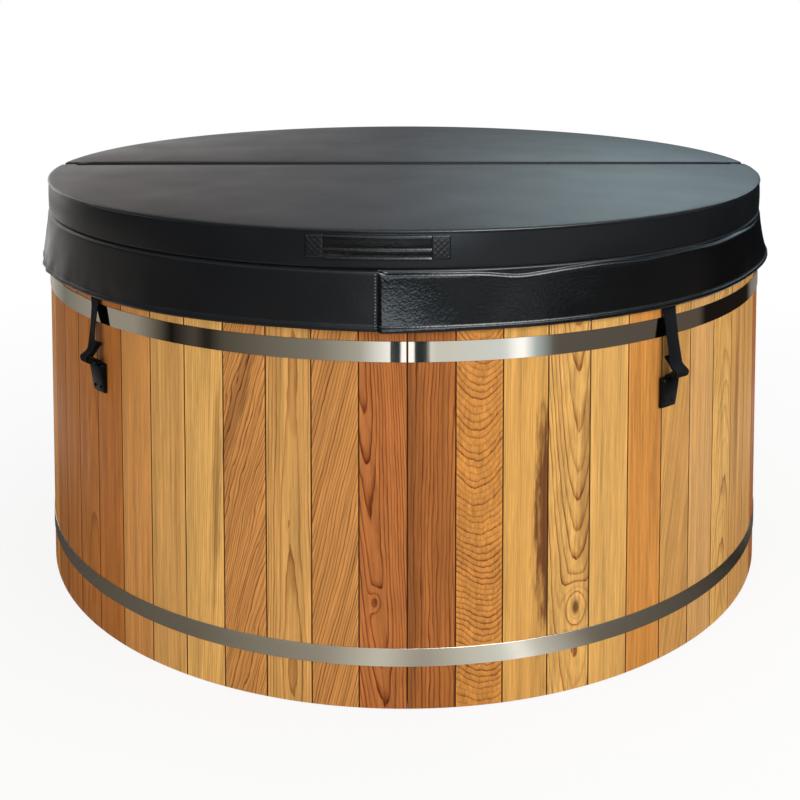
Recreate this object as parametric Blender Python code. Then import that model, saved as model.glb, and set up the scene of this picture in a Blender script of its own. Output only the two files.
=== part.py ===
"""Round cedar hot tub: tapered staves in two steel hoops, a bench inside, pipe
fittings for an outside wood stove, a drain valve and a folding insulated cover.

Metres, +Z up. The origin is on the ground, at the middle of the tub. The front
is -Y, and angles are measured from the front, positive towards +X.
"""

import math

import bmesh
import bpy
from mathutils import Matrix, Vector

# Staves and floor
STAVE_COUNT = 61
STAVE_PANELS = 12
STAVE_THICKNESS = 0.040
STAVE_FOOT = 0.0015
STAVE_TOP = 0.908
BASE_RADIUS = 0.9654
TOP_RADIUS = 0.8846
JOINT_CHAMFER = 0.002
CROZE_DEPTH = 0.010
FLOOR_THICKNESS = 0.040
FLOOR_BOARDS = 8
JOIST_WIDTH = 0.090
JOIST_COUNT = 3
JOIST_SPREAD = 0.54
JOIST_CHAMFER = 0.008

# Hoops
HOOP_WIDTH = 0.040
HOOP_THICKNESS = 0.0015
HOOP_END_GAP = 0.0012
UPPER_HOOP_Z = 0.754
LOWER_HOOP_Z = 0.1195

# Bench
BENCH_TOP = 0.460
BENCH_THICKNESS = 0.036
BENCH_INNER_RADIUS = 0.540
BENCH_NOSE = 0.010
BENCH_COUNT = 4
BENCH_SWEEP = math.radians(320)
SUPPORT_THICKNESS = 0.036
SUPPORT_SETBACK = 0.025
SUPPORT_TAPER = 0.090

# Cover
PANEL_THICKNESS = 0.0725
PANEL_OVERHANG = 0.0016
PANEL_TAPER = 0.0062
PANEL_CORNER = 0.030
PANEL_RIM_ROUND = 0.008
PANEL_BOTTOM_ROUND = 0.003
PANEL_CROWN = 0.004
CROWN_STEPS = ((0.5, 0.08), (1.0, 0.24))
HINGE_GAP = 0.004
HINGE_SHOULDER = 0.015
HINGE_RISE = 0.006
HINGE_STRIP_THICKNESS = 0.0015
HINGE_STRIP_TILTS = (math.radians(25), math.radians(60))
SKIRT_LAP = 0.008
SKIRT_DROP = 0.1205
SKIRT_THICKNESS = 0.0025
SKIRT_HEM_OUT = 0.0186
SKIRT_HEM_ROLL = 0.0015
SKIRT_BILLOW = 0.6
SKIRT_LEVELS = (0.35, 0.65)
SKIRT_HEM_DEPTH = 0.0084
SKIRT_SLIT = 0.020
SKIRT_WAVE = 0.0035
SKIRT_WAVE_PITCH = math.radians(10)
SKIRT_WAVE_RAMP = (math.radians(53), math.radians(61))
SKIRT_END_FLARE = 0.006
SKIRT_FLARE_RAMP = (math.radians(80), math.radians(89))
HANDLE_ANGLE = math.radians(-3.6)
HANDLE_LENGTH = 0.270
HANDLE_TAB = 0.035
HANDLE_HEIGHT = 0.046
HANDLE_THICKNESS = 0.005
HANDLE_FOLDS = 3
HANDLE_CREASE = 0.00125
HANDLE_EASE = 0.0044
HANDLE_DROP = 0.008

# Straps and clips
STRAP_ANGLES = {"left": math.radians(-46.0), "right": math.radians(36.2)}
STRAP_WIDTH = 0.038
STRAP_THICKNESS = 0.0022
CLIP_WIDTH = 0.030
CLIP_THICKNESS = 0.0056
CLIP_ELBOW_OUT = 0.0235
CLIP_ELBOW_RISE = 0.016
CLIP_ARM_OUT = 0.0089
CLIP_ARM_RISE = 0.044
CLIP_TONGUE = 0.030
CLIP_ELBOW_ROUND = 0.004
BASE_WIDTH = 0.046
BASE_HEIGHT = 0.065
BASE_TOP_Z = 0.648
BASE_ROUND = 0.005
SOCKET_WALL = 0.0057
SOCKET_CLEARANCE = 0.0005
TONGUE_OUT = 0.0063
STRAP_HANG = 0.004
STRAP_REACH = 0.6

# Stove ports and drain
PORT_BORE_RADIUS = 0.025
PORT_TUBE_WALL = 0.0045
PORT_FLANGE_RADIUS = 0.050
PORT_FLANGE_THICKNESS = 0.010
PORT_SPIGOT = 0.060
PORT_THREAD = 0.022
PORT_NUT_RADIUS = 0.046
PORT_NUT_THICKNESS = 0.014
PORT_HEIGHTS = {"upper": 0.620, "lower": 0.270}
DRAIN_ANGLE = math.pi
DRAIN_Z = 0.178
DRAIN_BORE_RADIUS = 0.0125
DRAIN_TUBE_WALL = 0.0065
DRAIN_FLANGE_RADIUS = 0.031
DRAIN_FLANGE_THICKNESS = 0.006
DRAIN_BALL_RADIUS = 0.026
DRAIN_BALL_LENGTH = 0.034
DRAIN_NECK = 0.022
DRAIN_TAIL = 0.026
DRAIN_THREAD = 0.020
DRAIN_NUT_RADIUS = 0.032
DRAIN_NUT_THICKNESS = 0.012
STEM_BOSS_RADIUS = 0.009
STEM_BOSS_HEIGHT = 0.010
STEM_RADIUS = 0.0045
STEM_TOP = 0.007
LEVER_LENGTH = 0.080
LEVER_WIDTH = 0.018
LEVER_HUB_RADIUS = 0.012
LEVER_THICKNESS = 0.005

CLEARANCE = 0.0003
TURN = 2 * math.pi
ROUND_STEPS = 24

# Values that follow from the sizes above
STAVE_PITCH = TURN / STAVE_COUNT
CHORD = math.cos(STAVE_PITCH / 2)
LEAN = math.atan2(BASE_RADIUS - TOP_RADIUS, STAVE_TOP)
FLOOR_BOTTOM = LOWER_HOOP_Z - FLOOR_THICKNESS / 2
FLOOR_TOP = LOWER_HOOP_Z + FLOOR_THICKNESS / 2
JOIST_SPACING = JOIST_SPREAD * BASE_RADIUS
PANEL_SEAM_RADIUS = TOP_RADIUS + PANEL_OVERHANG
PANEL_RIM_RADIUS = PANEL_SEAM_RADIUS - PANEL_TAPER
PANEL_BOTTOM = STAVE_TOP + CLEARANCE
PANEL_TOP = PANEL_BOTTOM + PANEL_THICKNESS
HINGE_Z = PANEL_TOP + HINGE_RISE
SKIRT_TOP = PANEL_BOTTOM + SKIRT_LAP
SKIRT_HEM_SHARE = 1 - SKIRT_HEM_DEPTH / SKIRT_DROP
SKIRT_SHARES = (0.0, SKIRT_LAP / SKIRT_DROP, *SKIRT_LEVELS, SKIRT_HEM_SHARE, 1.0)


def wall_radius(z):
    """Outer radius of the leaning wall at height z."""
    return BASE_RADIUS + (TOP_RADIUS - BASE_RADIUS) * z / STAVE_TOP


def inner_radius(z):
    """Radius of the joints on the inner face of the wall at height z."""
    return wall_radius(z) - STAVE_THICKNESS


def polar(angle, radius, z):
    """Point at an angle from the front, a distance from the axis and a height."""
    return Vector((radius * math.sin(angle), -radius * math.cos(angle), z))


def spread(start, end, steps):
    """Evenly spaced values from start to end, both included."""
    return [start + (end - start) * i / steps for i in range(steps + 1)]


def ramp(value, start, end):
    """Share of the way from start to end, held at 0 and 1 outside."""
    return min(1.0, max(0.0, (value - start) / (end - start)))


def material(name, colour, roughness, metallic=0.0):
    """Plain Principled material."""
    made = bpy.data.materials.new(name)
    made.use_nodes = True
    shader = made.node_tree.nodes["Principled BSDF"]
    shader.inputs["Base Color"].default_value = (*colour, 1.0)
    shader.inputs["Roughness"].default_value = roughness
    shader.inputs["Metallic"].default_value = metallic
    made.diffuse_color = (*colour, 1.0)
    return made


def loft(rings):
    """Skin a row of outlines with equal point counts and cap the ends."""
    bm = bmesh.new()
    rows = [[bm.verts.new(point) for point in ring] for ring in rings]
    for low, high in zip(rows, rows[1:]):
        for i in range(len(low)):
            j = (i + 1) % len(low)
            bm.faces.new((low[i], low[j], high[j], high[i]))
    bm.faces.new(rows[0])
    bm.faces.new(rows[-1])
    return bm


def extrude_profile(profile, width):
    """Side profile of (radius, height) points, made solid across its width."""
    sides = (-width / 2, width / 2)
    return loft([[Vector((x, -r, z)) for r, z in profile] for x in sides])


def revolve(profile):
    """Closed profile of (along X, radius) points, spun about the X axis."""
    bm = bmesh.new()
    verts = [bm.verts.new((x, 0.0, r)) for x, r in profile]
    edges = [bm.edges.new((verts[i - 1], verts[i])) for i in range(len(verts))]
    bmesh.ops.spin(bm, geom=verts + edges, cent=(0, 0, 0), axis=(1, 0, 0),
                   angle=TURN, steps=ROUND_STEPS, use_merge=True)
    return bm


def thick_line(points, thickness):
    """Outline of a strip of even thickness along a bent line."""
    left = []
    right = []
    for i, point in enumerate(points):
        before = (point - points[i - 1]).normalized() if i > 0 else None
        after = (points[i + 1] - point).normalized() if i < len(points) - 1 else None
        ahead = ((before or after) + (after or before)).normalized()
        side = Vector((-ahead.y, ahead.x))
        reach = thickness / 2 / abs((before or after).dot(ahead))
        left.append(point + side * reach)
        right.append(point - side * reach)
    return left + right[::-1]


def build(name, bm, finish, origin=None, parent=None, turn=None):
    """Make the named object from a bmesh in world or turned local coordinates."""
    bmesh.ops.remove_doubles(bm, verts=bm.verts, dist=1e-6)
    bmesh.ops.recalc_face_normals(bm, faces=bm.faces)
    mesh = bpy.data.meshes.new(name)
    bm.to_mesh(mesh)
    bm.free()
    place = Vector(origin or (0, 0, 0))
    if turn is None:
        mesh.transform(Matrix.Translation(-place))
    mesh.shade_smooth()
    mesh.set_sharp_from_angle(angle=math.radians(30))
    obj = bpy.data.objects.new(name, mesh)
    bpy.context.collection.objects.link(obj)
    obj.data.materials.append(finish)
    obj.matrix_world = Matrix.Translation(place) @ (turn or Matrix())
    if parent:
        obj.parent = parent
        obj.matrix_parent_inverse = parent.matrix_world.inverted()
    return obj


def empty(name, place, parent=None):
    """Axis marker that carries the pieces of a moving body."""
    obj = bpy.data.objects.new(name, None)
    bpy.context.collection.objects.link(obj)
    obj.matrix_world = Matrix.Translation(place)
    bpy.context.view_layer.update()
    if parent:
        obj.parent = parent
        obj.matrix_parent_inverse = parent.matrix_world.inverted()
        bpy.context.view_layer.update()
    return obj


def boolean(obj, other, operation):
    """Cut or join another object, which stays as a hidden wire shape."""
    other.hide_render = True
    other.display_type = "WIRE"
    step = obj.modifiers.new(other.name, "BOOLEAN")
    step.operation = operation
    step.solver = "EXACT"
    step.object = other


def stave_centre(angle):
    """Angle of the middle of the stave that an angle falls on."""
    return (math.floor(angle / STAVE_PITCH) + 0.5) * STAVE_PITCH


def wall_frame(angle, z):
    """Frame on the outer wall: X straight out of the wood, Z up the stave."""
    out = polar(angle, math.cos(LEAN), math.sin(LEAN))
    up = polar(angle, -math.sin(LEAN), math.cos(LEAN))
    across = up.cross(out)
    turn = Matrix((out, across, up)).transposed().to_4x4()
    return polar(angle, wall_radius(z), z), turn


def wall_depth(z):
    """Thickness of a stave along the wall frame, at the stave's middle."""
    return (wall_radius(z) - inner_radius(z) * CHORD) * math.cos(LEAN)


def stave_outline(first, last, z, cut, shrink):
    """Outline of some joined staves: eased outer edges, flat inner faces."""
    radius = wall_radius(z) - shrink
    inner = inner_radius(z) + cut
    half_gap = CLEARANCE / 2 / TOP_RADIUS
    chamfer = JOINT_CHAMFER / TOP_RADIUS
    outer_points = []
    for stave in range(first, last):
        left = stave * STAVE_PITCH
        right = left + STAVE_PITCH
        start = left + half_gap if stave == first else left
        end = right - half_gap
        outer_points.append(polar(start, radius - JOINT_CHAMFER, z))
        outer_points.append(polar(left + chamfer, radius, z))
        outer_points.append(polar((left + right) / 2, radius, z))
        outer_points.append(polar(right - chamfer, radius, z))
        if stave == last - 1:
            outer_points.append(polar(end, radius - JOINT_CHAMFER, z))
    joints = [joint * STAVE_PITCH for joint in range(first, last + 1)]
    joints[0] += half_gap
    joints[-1] -= half_gap
    return outer_points + [polar(joint, inner, z) for joint in reversed(joints)]


def stave_panels(finish):
    """The wall: groups of staves with the croze groove that holds the floor."""
    edges = [round(i * STAVE_COUNT / STAVE_PANELS) for i in range(STAVE_PANELS + 1)]
    low = FLOOR_BOTTOM - CLEARANCE
    high = FLOOR_TOP + CLEARANCE
    levels = [(STAVE_FOOT, 0, JOINT_CHAMFER), (STAVE_FOOT + JOINT_CHAMFER, 0, 0),
              (low, 0, 0), (low, CROZE_DEPTH, 0), (high, CROZE_DEPTH, 0), (high, 0, 0),
              (STAVE_TOP - JOINT_CHAMFER, 0, 0), (STAVE_TOP, 0, JOINT_CHAMFER)]
    panels = {}
    for i, (first, last) in enumerate(zip(edges, edges[1:])):
        rings = [stave_outline(first, last, *level) for level in levels]
        name = f"stave_panel_{i + 1:02d}"
        panel = build(name, loft(rings), finish)
        panels.update({stave: panel for stave in range(first, last)})
    return panels


def floor_boards(finish):
    """Planks side by side, cut to a disc that seats in the croze groove."""
    radius = (inner_radius(FLOOR_TOP) + CROZE_DEPTH) * CHORD - CLEARANCE
    edges = spread(-radius, radius, FLOOR_BOARDS)
    for i, (left, right) in enumerate(zip(edges, edges[1:])):
        start = left + CLEARANCE / 2 if i else left
        end = right - CLEARANCE / 2 if i < FLOOR_BOARDS - 1 else right
        angles = spread(math.asin(max(start / radius, -1)), math.asin(min(end / radius, 1)), 4)
        front = [(radius * math.sin(a), -radius * math.cos(a)) for a in angles]
        outline = front + [(x, -y) for x, y in reversed(front)]
        rings = [[Vector((x, y, z)) for x, y in outline] for z in (FLOOR_BOTTOM, FLOOR_TOP)]
        build(f"floor_board_{i + 1}", loft(rings), finish)


def floor_joists(finish):
    """Bearers on the ground that carry the floor."""
    reach = inner_radius(FLOOR_BOTTOM) * CHORD - CLEARANCE
    top = FLOOR_BOTTOM - CLEARANCE
    half = JOIST_WIDTH / 2
    section = [(-half, 0), (half, 0), (half, top - JOIST_CHAMFER), (half - JOIST_CHAMFER, top),
               (JOIST_CHAMFER - half, top), (-half, top - JOIST_CHAMFER)]
    for i in range(JOIST_COUNT):
        y = (i - (JOIST_COUNT - 1) / 2) * JOIST_SPACING
        length = math.sqrt(reach ** 2 - (abs(y) + half) ** 2)
        rings = [[Vector((x, y + across, z)) for across, z in section] for x in (-length, length)]
        build(f"floor_joist_{i + 1}", loft(rings), finish)


def hoop(name, centre, split, finish):
    """Flat steel band on the leaning wall, with its two ends meeting at one angle."""
    low = centre - HOOP_WIDTH / 2
    high = centre + HOOP_WIDTH / 2
    seat_low = wall_radius(low) + CLEARANCE
    seat_high = wall_radius(high) + CLEARANCE
    section = [(seat_low, low), (seat_low + HOOP_THICKNESS, low),
               (seat_high + HOOP_THICKNESS, high), (seat_high, high)]
    end = HOOP_END_GAP / 2 / TOP_RADIUS
    angles = [split + i * STAVE_PITCH / 2 for i in range(2 * STAVE_COUNT + 1)]
    angles[0] += end
    angles[-1] -= end
    build(name, loft([[polar(a, r, z) for r, z in section] for a in angles]), finish)


def bench(finish):
    """Ring of seats round the wall on upright boards, open towards the ports."""
    low = BENCH_TOP - BENCH_THICKNESS
    outer = inner_radius(BENCH_TOP) * CHORD - CLEARANCE
    inner = BENCH_INNER_RADIUS
    section = [(inner + BENCH_NOSE, low), (outer, low), (outer, BENCH_TOP),
               (inner + BENCH_NOSE, BENCH_TOP), (inner, BENCH_TOP - BENCH_NOSE),
               (inner, low + BENCH_NOSE)]
    gap = CLEARANCE / 2 / inner
    edges = spread(-BENCH_SWEEP / 2, BENCH_SWEEP / 2, BENCH_COUNT)
    for i, (start, end) in enumerate(zip(edges, edges[1:])):
        angles = spread(start + gap, end - gap, ROUND_STEPS * 2 // BENCH_COUNT)
        rings = [[polar(a, r, z) for r, z in section] for a in angles]
        build(f"bench_seat_{i + 1}", loft(rings), finish)
    foot = FLOOR_TOP + CLEARANCE
    top = low - CLEARANCE
    near = inner + SUPPORT_SETBACK
    board = [(near + SUPPORT_TAPER, foot), (outer - SUPPORT_SETBACK, foot),
             (outer - SUPPORT_SETBACK, top), (near, top), (near, top - SUPPORT_TAPER)]
    inset = SUPPORT_THICKNESS / 2 / inner
    places = [edges[0] + inset, *edges[1:-1], edges[-1] - inset]
    for i, angle in enumerate(places):
        build(f"bench_support_{i + 1}", extrude_profile(board, SUPPORT_THICKNESS), finish,
              turn=Matrix.Rotation(angle, 4, "Z"))


def half_outline(radius, straight, corner, z, side):
    """Half disc seen from above: an arc, two rounded corners and the hinge edge."""
    centre_x = math.sqrt((radius - corner) ** 2 - (straight + corner) ** 2)
    turn = math.atan2(centre_x, straight + corner)
    points = [(radius * math.sin(a), -radius * math.cos(a)) for a in spread(-turn, turn, 40)]
    bend = [(centre_x + corner * math.sin(a), -straight - corner - corner * math.cos(a))
            for a in spread(turn, math.pi, 5)[1:]]
    points += bend
    points += [(-x, y) for x, y in reversed(bend)]
    return [Vector((x, y * side, z)) for x, y in points]


def panel_side(z):
    """Radius of the cover's side at height z."""
    share = (z - PANEL_BOTTOM) / PANEL_THICKNESS
    return PANEL_SEAM_RADIUS + (PANEL_RIM_RADIUS - PANEL_SEAM_RADIUS) * share


def cover_panel(name, side, finish, parent):
    """Foam half of the cover in its vinyl: crowned top, rounded rim and hinge shoulder."""
    edge = HINGE_GAP / 2
    levels = [(PANEL_BOTTOM, PANEL_BOTTOM_ROUND, PANEL_BOTTOM_ROUND),
              (PANEL_BOTTOM + PANEL_BOTTOM_ROUND, 0, 0),
              (PANEL_TOP - HINGE_SHOULDER, 0, 0)]
    for tilt in (math.radians(60), math.radians(30), 0):
        drop = 1 - math.cos(tilt)
        inset = 1 - math.sin(tilt)
        rim = math.sqrt(max(0, 1 - (1 - min(1, drop * HINGE_SHOULDER / PANEL_RIM_ROUND)) ** 2))
        levels.append((PANEL_TOP - HINGE_SHOULDER * drop, PANEL_RIM_ROUND * (1 - rim),
                       HINGE_SHOULDER * inset))
    for rise, inset in CROWN_STEPS:
        levels.append((PANEL_TOP + PANEL_CROWN * rise, inset * PANEL_RIM_RADIUS, inset * PANEL_RIM_RADIUS))
    rings = []
    for z, inset, hinge_inset in levels:
        radius = panel_side(min(z, PANEL_TOP)) - inset
        rings.append(half_outline(radius, edge + hinge_inset, PANEL_CORNER, z, side))
    return build(name, loft(rings), finish, (0, 0, HINGE_Z), parent)


def hinge_strip(finish, parent):
    """Vinyl web that lies over the two shoulders and joins the halves."""
    middle = HINGE_GAP / 2 + HINGE_SHOULDER
    base = PANEL_TOP - HINGE_SHOULDER
    tilts = spread(*HINGE_STRIP_TILTS, 3)
    chains = []
    for radius in (HINGE_SHOULDER + CLEARANCE, HINGE_SHOULDER + CLEARANCE + HINGE_STRIP_THICKNESS):
        side = [(-middle + radius * math.sin(t), base + radius * math.cos(t)) for t in tilts]
        chains.append(side + [(-y, z) for y, z in reversed(side)])
    section = chains[0] + chains[1][::-1]
    reach = PANEL_RIM_RADIUS - PANEL_CORNER - PANEL_RIM_ROUND
    rings = [[Vector((x, y, z)) for y, z in section] for x in spread(-reach, reach, 2)]
    build("cover_hinge_strip", loft(rings), finish, (0, 0, HINGE_Z), parent)


def skirt_radius(share):
    """Outer radius of the skirt, a share of the way from its top to its hem."""
    start = PANEL_SEAM_RADIUS + CLEARANCE + SKIRT_THICKNESS
    hem = wall_radius(skirt_height(1.0)) + SKIRT_HEM_OUT
    fall = ramp(share, SKIRT_LAP / SKIRT_DROP, 1.0)
    return start + (hem - start) * fall ** SKIRT_BILLOW


def skirt_height(share):
    """Height of a point a share of the way down the skirt."""
    return SKIRT_TOP - SKIRT_DROP * share


def skirt_wave(angle, share):
    """Soft folds near the left end, and the flare of both slit corners."""
    fold = SKIRT_WAVE * ramp(-angle, *SKIRT_WAVE_RAMP) * (1 - math.cos(TURN * angle / SKIRT_WAVE_PITCH))
    flare = SKIRT_END_FLARE * ramp(abs(angle), *SKIRT_FLARE_RAMP) ** 2
    return max(0.0, share - SKIRT_LAP / SKIRT_DROP) * (fold + flare)


def skirt(name, side, finish, parent):
    """Hanging vinyl skirt sewn to the lower edge of a cover half, with a rolled hem."""
    reach = math.pi / 2 - SKIRT_SLIT / 2 / skirt_radius(1.0)
    rings = []
    for angle in spread(-reach, reach, 60):
        outer = []
        inner = []
        for share in SKIRT_SHARES:
            radius = skirt_radius(share) + skirt_wave(angle, share)
            roll = SKIRT_HEM_ROLL if share >= SKIRT_HEM_SHARE else 0
            outer.append(polar(angle, radius + roll, skirt_height(share)))
            inner.append(polar(angle, radius - SKIRT_THICKNESS, skirt_height(share)))
        ring = outer + inner[::-1]
        rings.append([Vector((p.x, p.y * side, p.z)) for p in ring])
    build(name, loft(rings), finish, (0, 0, HINGE_Z), parent)


def handle(finish, parent):
    """Folded vinyl grab handle sewn flat on the front side band by two end tabs."""
    top = PANEL_TOP - HANDLE_DROP
    low = top - HANDLE_HEIGHT
    reach = HANDLE_LENGTH / 2 / PANEL_RIM_RADIUS
    tab = HANDLE_TAB / PANEL_RIM_RADIUS
    step = HANDLE_EASE / PANEL_RIM_RADIUS
    heights = spread(top, low, HANDLE_FOLDS * 2)
    rings = []
    turns = [-reach, step - reach, tab - reach - step, tab - reach]
    for turn in turns + spread(tab - reach, reach - tab, 6)[1:-1] + [-t for t in turns[::-1]]:
        thick = HANDLE_THICKNESS / 2 if abs(turn) > reach - tab else HANDLE_THICKNESS
        angle = HANDLE_ANGLE + turn
        seat = [polar(angle, panel_side(z) + CLEARANCE, z) for z in (low, top)]
        face = []
        for i, z in enumerate(heights):
            crease = 0 if i % 2 else HANDLE_CREASE * thick / HANDLE_THICKNESS
            face.append(polar(angle, panel_side(z) + CLEARANCE + thick - crease, z))
        rings.append(seat + face)
    build("cover_handle", loft(rings), finish, (0, 0, HINGE_Z), parent)


def clip_line():
    """Middle line of a clip in (radius, height): tongue, elbow and strap arm."""
    foot_z = BASE_TOP_Z - CLIP_TONGUE
    end_z = BASE_TOP_Z + CLIP_ARM_RISE
    tongue = wall_radius(foot_z) + TONGUE_OUT
    neck = Vector((tongue, BASE_TOP_Z + CLIP_THICKNESS))
    elbow = Vector((tongue + CLIP_ELBOW_OUT, BASE_TOP_Z + CLIP_ELBOW_RISE))
    end = Vector((wall_radius(end_z) + CLIP_ARM_OUT, end_z))
    before = (neck - elbow).normalized() * CLIP_ELBOW_ROUND
    after = (end - elbow).normalized() * CLIP_ELBOW_ROUND
    return [Vector((tongue, foot_z)), neck, elbow + before, elbow + after, end]


def strap_line():
    """Middle line of a strap: down the inside of the skirt, then along the clip's arm."""
    inside = SKIRT_THICKNESS + 2 * CLEARANCE + STRAP_THICKNESS / 2
    points = [Vector((skirt_radius(s) - inside, skirt_height(s))) for s in SKIRT_SHARES[2:]]
    points.append(points[-1] - Vector((0, STRAP_HANG)))
    elbow, end = clip_line()[-2:]
    arm = elbow - end
    lift = Vector((-arm.y, arm.x)).normalized() * (CLIP_THICKNESS / 2 + CLEARANCE + STRAP_THICKNESS / 2)
    return points + [end + lift, end + arm * STRAP_REACH + lift]


def clip_set(side, half, turn, finishes, parent):
    """One tie-down: the socket on the wall, the clip in it and its strap."""
    name = f"{half}_{side}"
    rotate = Matrix.Rotation(turn, 4, "Z")
    line = clip_line()
    tongue = line[0].x
    half_slot = CLIP_THICKNESS / 2 + SOCKET_CLEARANCE
    low = BASE_TOP_Z - BASE_HEIGHT
    face = tongue + half_slot + SOCKET_WALL
    seat_top = wall_radius(BASE_TOP_Z) + CLEARANCE
    seat_low = wall_radius(low) + CLEARANCE
    block = [(seat_low, low), (face - BASE_ROUND, low), (face, low + BASE_ROUND),
             (face, BASE_TOP_Z - BASE_ROUND), (face - BASE_ROUND, BASE_TOP_Z), (seat_top, BASE_TOP_Z)]
    base = build(f"clip_base_{name}", extrude_profile(block, BASE_WIDTH), finishes["clip"], turn=rotate)
    slot_low = line[0].y - SOCKET_CLEARANCE
    slot_high = BASE_TOP_Z + BASE_ROUND
    slot = [(tongue - half_slot, slot_low), (tongue + half_slot, slot_low),
            (tongue + half_slot, slot_high), (tongue - half_slot, slot_high)]
    slot_width = CLIP_WIDTH + 2 * SOCKET_CLEARANCE
    cutter = build(f"socket_cutter_{name}", extrude_profile(slot, slot_width), finishes["clip"], turn=rotate)
    boolean(base, cutter, "DIFFERENCE")
    build(f"clip_{name}", extrude_profile(thick_line(line, CLIP_THICKNESS), CLIP_WIDTH),
          finishes["clip"], turn=rotate, parent=parent)
    strap = thick_line(strap_line(), STRAP_THICKNESS)
    build(f"strap_{name}", extrude_profile(strap, STRAP_WIDTH), finishes["webbing"],
          turn=rotate, parent=parent)


def drill(panels, angle, place, turn, radius, depth, name, finish):
    """Hole straight through one stave."""
    ends = (-2 * depth, depth)
    rings = [[Vector((x, radius * math.cos(a), radius * math.sin(a)))
              for a in spread(0, TURN, ROUND_STEPS)[:-1]] for x in ends]
    cutter = build(name, loft(rings), finish, place, turn=turn)
    boolean(panels[math.floor(angle / STAVE_PITCH)], cutter, "DIFFERENCE")


def lock_nut(name, tube, radius, thickness, depth, place, turn, finish):
    """Ring nut that pulls a fitting tight on the inside of the wall."""
    back = -depth - CLEARANCE
    profile = [(back, tube + CLEARANCE), (back, radius), (back - thickness, radius),
               (back - thickness, tube + CLEARANCE)]
    build(name, revolve(profile), finish, place, turn=turn)


def stove_port(level, z, panels, finish):
    """Threaded pipe fitting for the stove, with its flange outside and its nut inside."""
    angle = stave_centre(math.pi)
    place, turn = wall_frame(angle, z)
    depth = wall_depth(z)
    bore = PORT_BORE_RADIUS
    tube = bore + PORT_TUBE_WALL
    flange = PORT_FLANGE_THICKNESS + CLEARANCE
    inner_end = -depth - PORT_THREAD
    profile = [(inner_end, bore), (inner_end, tube), (CLEARANCE, tube), (CLEARANCE, PORT_FLANGE_RADIUS),
               (flange, PORT_FLANGE_RADIUS), (flange, tube), (PORT_SPIGOT, tube), (PORT_SPIGOT, bore)]
    build(f"stove_port_{level}", revolve(profile), finish, place, turn=turn)
    lock_nut(f"port_nut_{level}", tube, PORT_NUT_RADIUS, PORT_NUT_THICKNESS, depth, place, turn, finish)
    drill(panels, angle, place, turn, tube + CLEARANCE, depth, f"port_cutter_{level}", finish)


def drain(panels, finish, lever_finish):
    """Quarter-turn drain valve low on the wall, with its lever and inside nut."""
    angle = stave_centre(DRAIN_ANGLE)
    place, turn = wall_frame(angle, DRAIN_Z)
    depth = wall_depth(DRAIN_Z)
    bore = DRAIN_BORE_RADIUS
    tube = bore + DRAIN_TUBE_WALL
    flange = DRAIN_FLANGE_THICKNESS + CLEARANCE
    ball_start = flange + DRAIN_NECK
    ball_end = ball_start + DRAIN_BALL_LENGTH
    ease = DRAIN_BALL_RADIUS - tube
    inner_end = -depth - DRAIN_THREAD
    tail = ball_end + DRAIN_TAIL
    profile = [(inner_end, bore), (inner_end, tube), (CLEARANCE, tube), (CLEARANCE, DRAIN_FLANGE_RADIUS),
               (flange, DRAIN_FLANGE_RADIUS), (flange, tube), (ball_start, tube),
               (ball_start + ease, DRAIN_BALL_RADIUS), (ball_end - ease, DRAIN_BALL_RADIUS),
               (ball_end, tube), (tail, tube), (tail, bore)]
    valve = build("drain_valve", revolve(profile), finish, place, turn=turn)
    middle = (ball_start + ball_end) / 2
    seat = DRAIN_BALL_RADIUS + STEM_BOSS_HEIGHT
    stem_top = seat + CLEARANCE + LEVER_THICKNESS + STEM_TOP
    rounds = spread(0, TURN, ROUND_STEPS)[:-1]
    stem_levels = [(tube, STEM_BOSS_RADIUS), (seat, STEM_BOSS_RADIUS), (seat, STEM_RADIUS),
                   (stem_top, STEM_RADIUS)]
    rings = [[Vector((middle + r * math.cos(a), r * math.sin(a), z)) for a in rounds]
             for z, r in stem_levels]
    stem = build("drain_stem_shape", loft(rings), finish, place, turn=turn)
    boolean(valve, stem, "UNION")
    lock_nut("drain_nut", tube, DRAIN_NUT_RADIUS, DRAIN_NUT_THICKNESS, depth, place, turn, finish)
    drill(panels, angle, place, turn, tube + CLEARANCE, depth, "drain_cutter", finish)

    pivot = place + turn.to_3x3() @ Vector((middle, 0, 0))
    half = LEVER_WIDTH / 2
    hub = LEVER_HUB_RADIUS
    meet = math.asin(half / hub)
    outline = [(hub * math.cos(a), hub * math.sin(a)) for a in spread(math.pi - meet, meet - math.pi, 12)]
    outline = [(-x, y) for x, y in outline]
    tip = [(LEVER_LENGTH - half + half * math.cos(a), half * math.sin(a))
           for a in spread(-math.pi / 2, math.pi / 2, 8)]
    blade = [(y, x) for x, y in outline + tip]
    low = seat + CLEARANCE
    lever = build("drain_lever", loft([[Vector((x, y, z)) for x, y in blade]
                                       for z in (low, low + LEVER_THICKNESS)]),
                  lever_finish, pivot, turn=turn)
    hole = STEM_RADIUS + CLEARANCE
    rings = [[Vector((hole * math.cos(a), hole * math.sin(a), z)) for a in rounds]
             for z in (low - LEVER_THICKNESS, low + 2 * LEVER_THICKNESS)]
    boolean(lever, build("stem_cutter", loft(rings), finish, pivot, turn=turn), "DIFFERENCE")


for old in list(bpy.data.objects):
    bpy.data.objects.remove(old)

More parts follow.
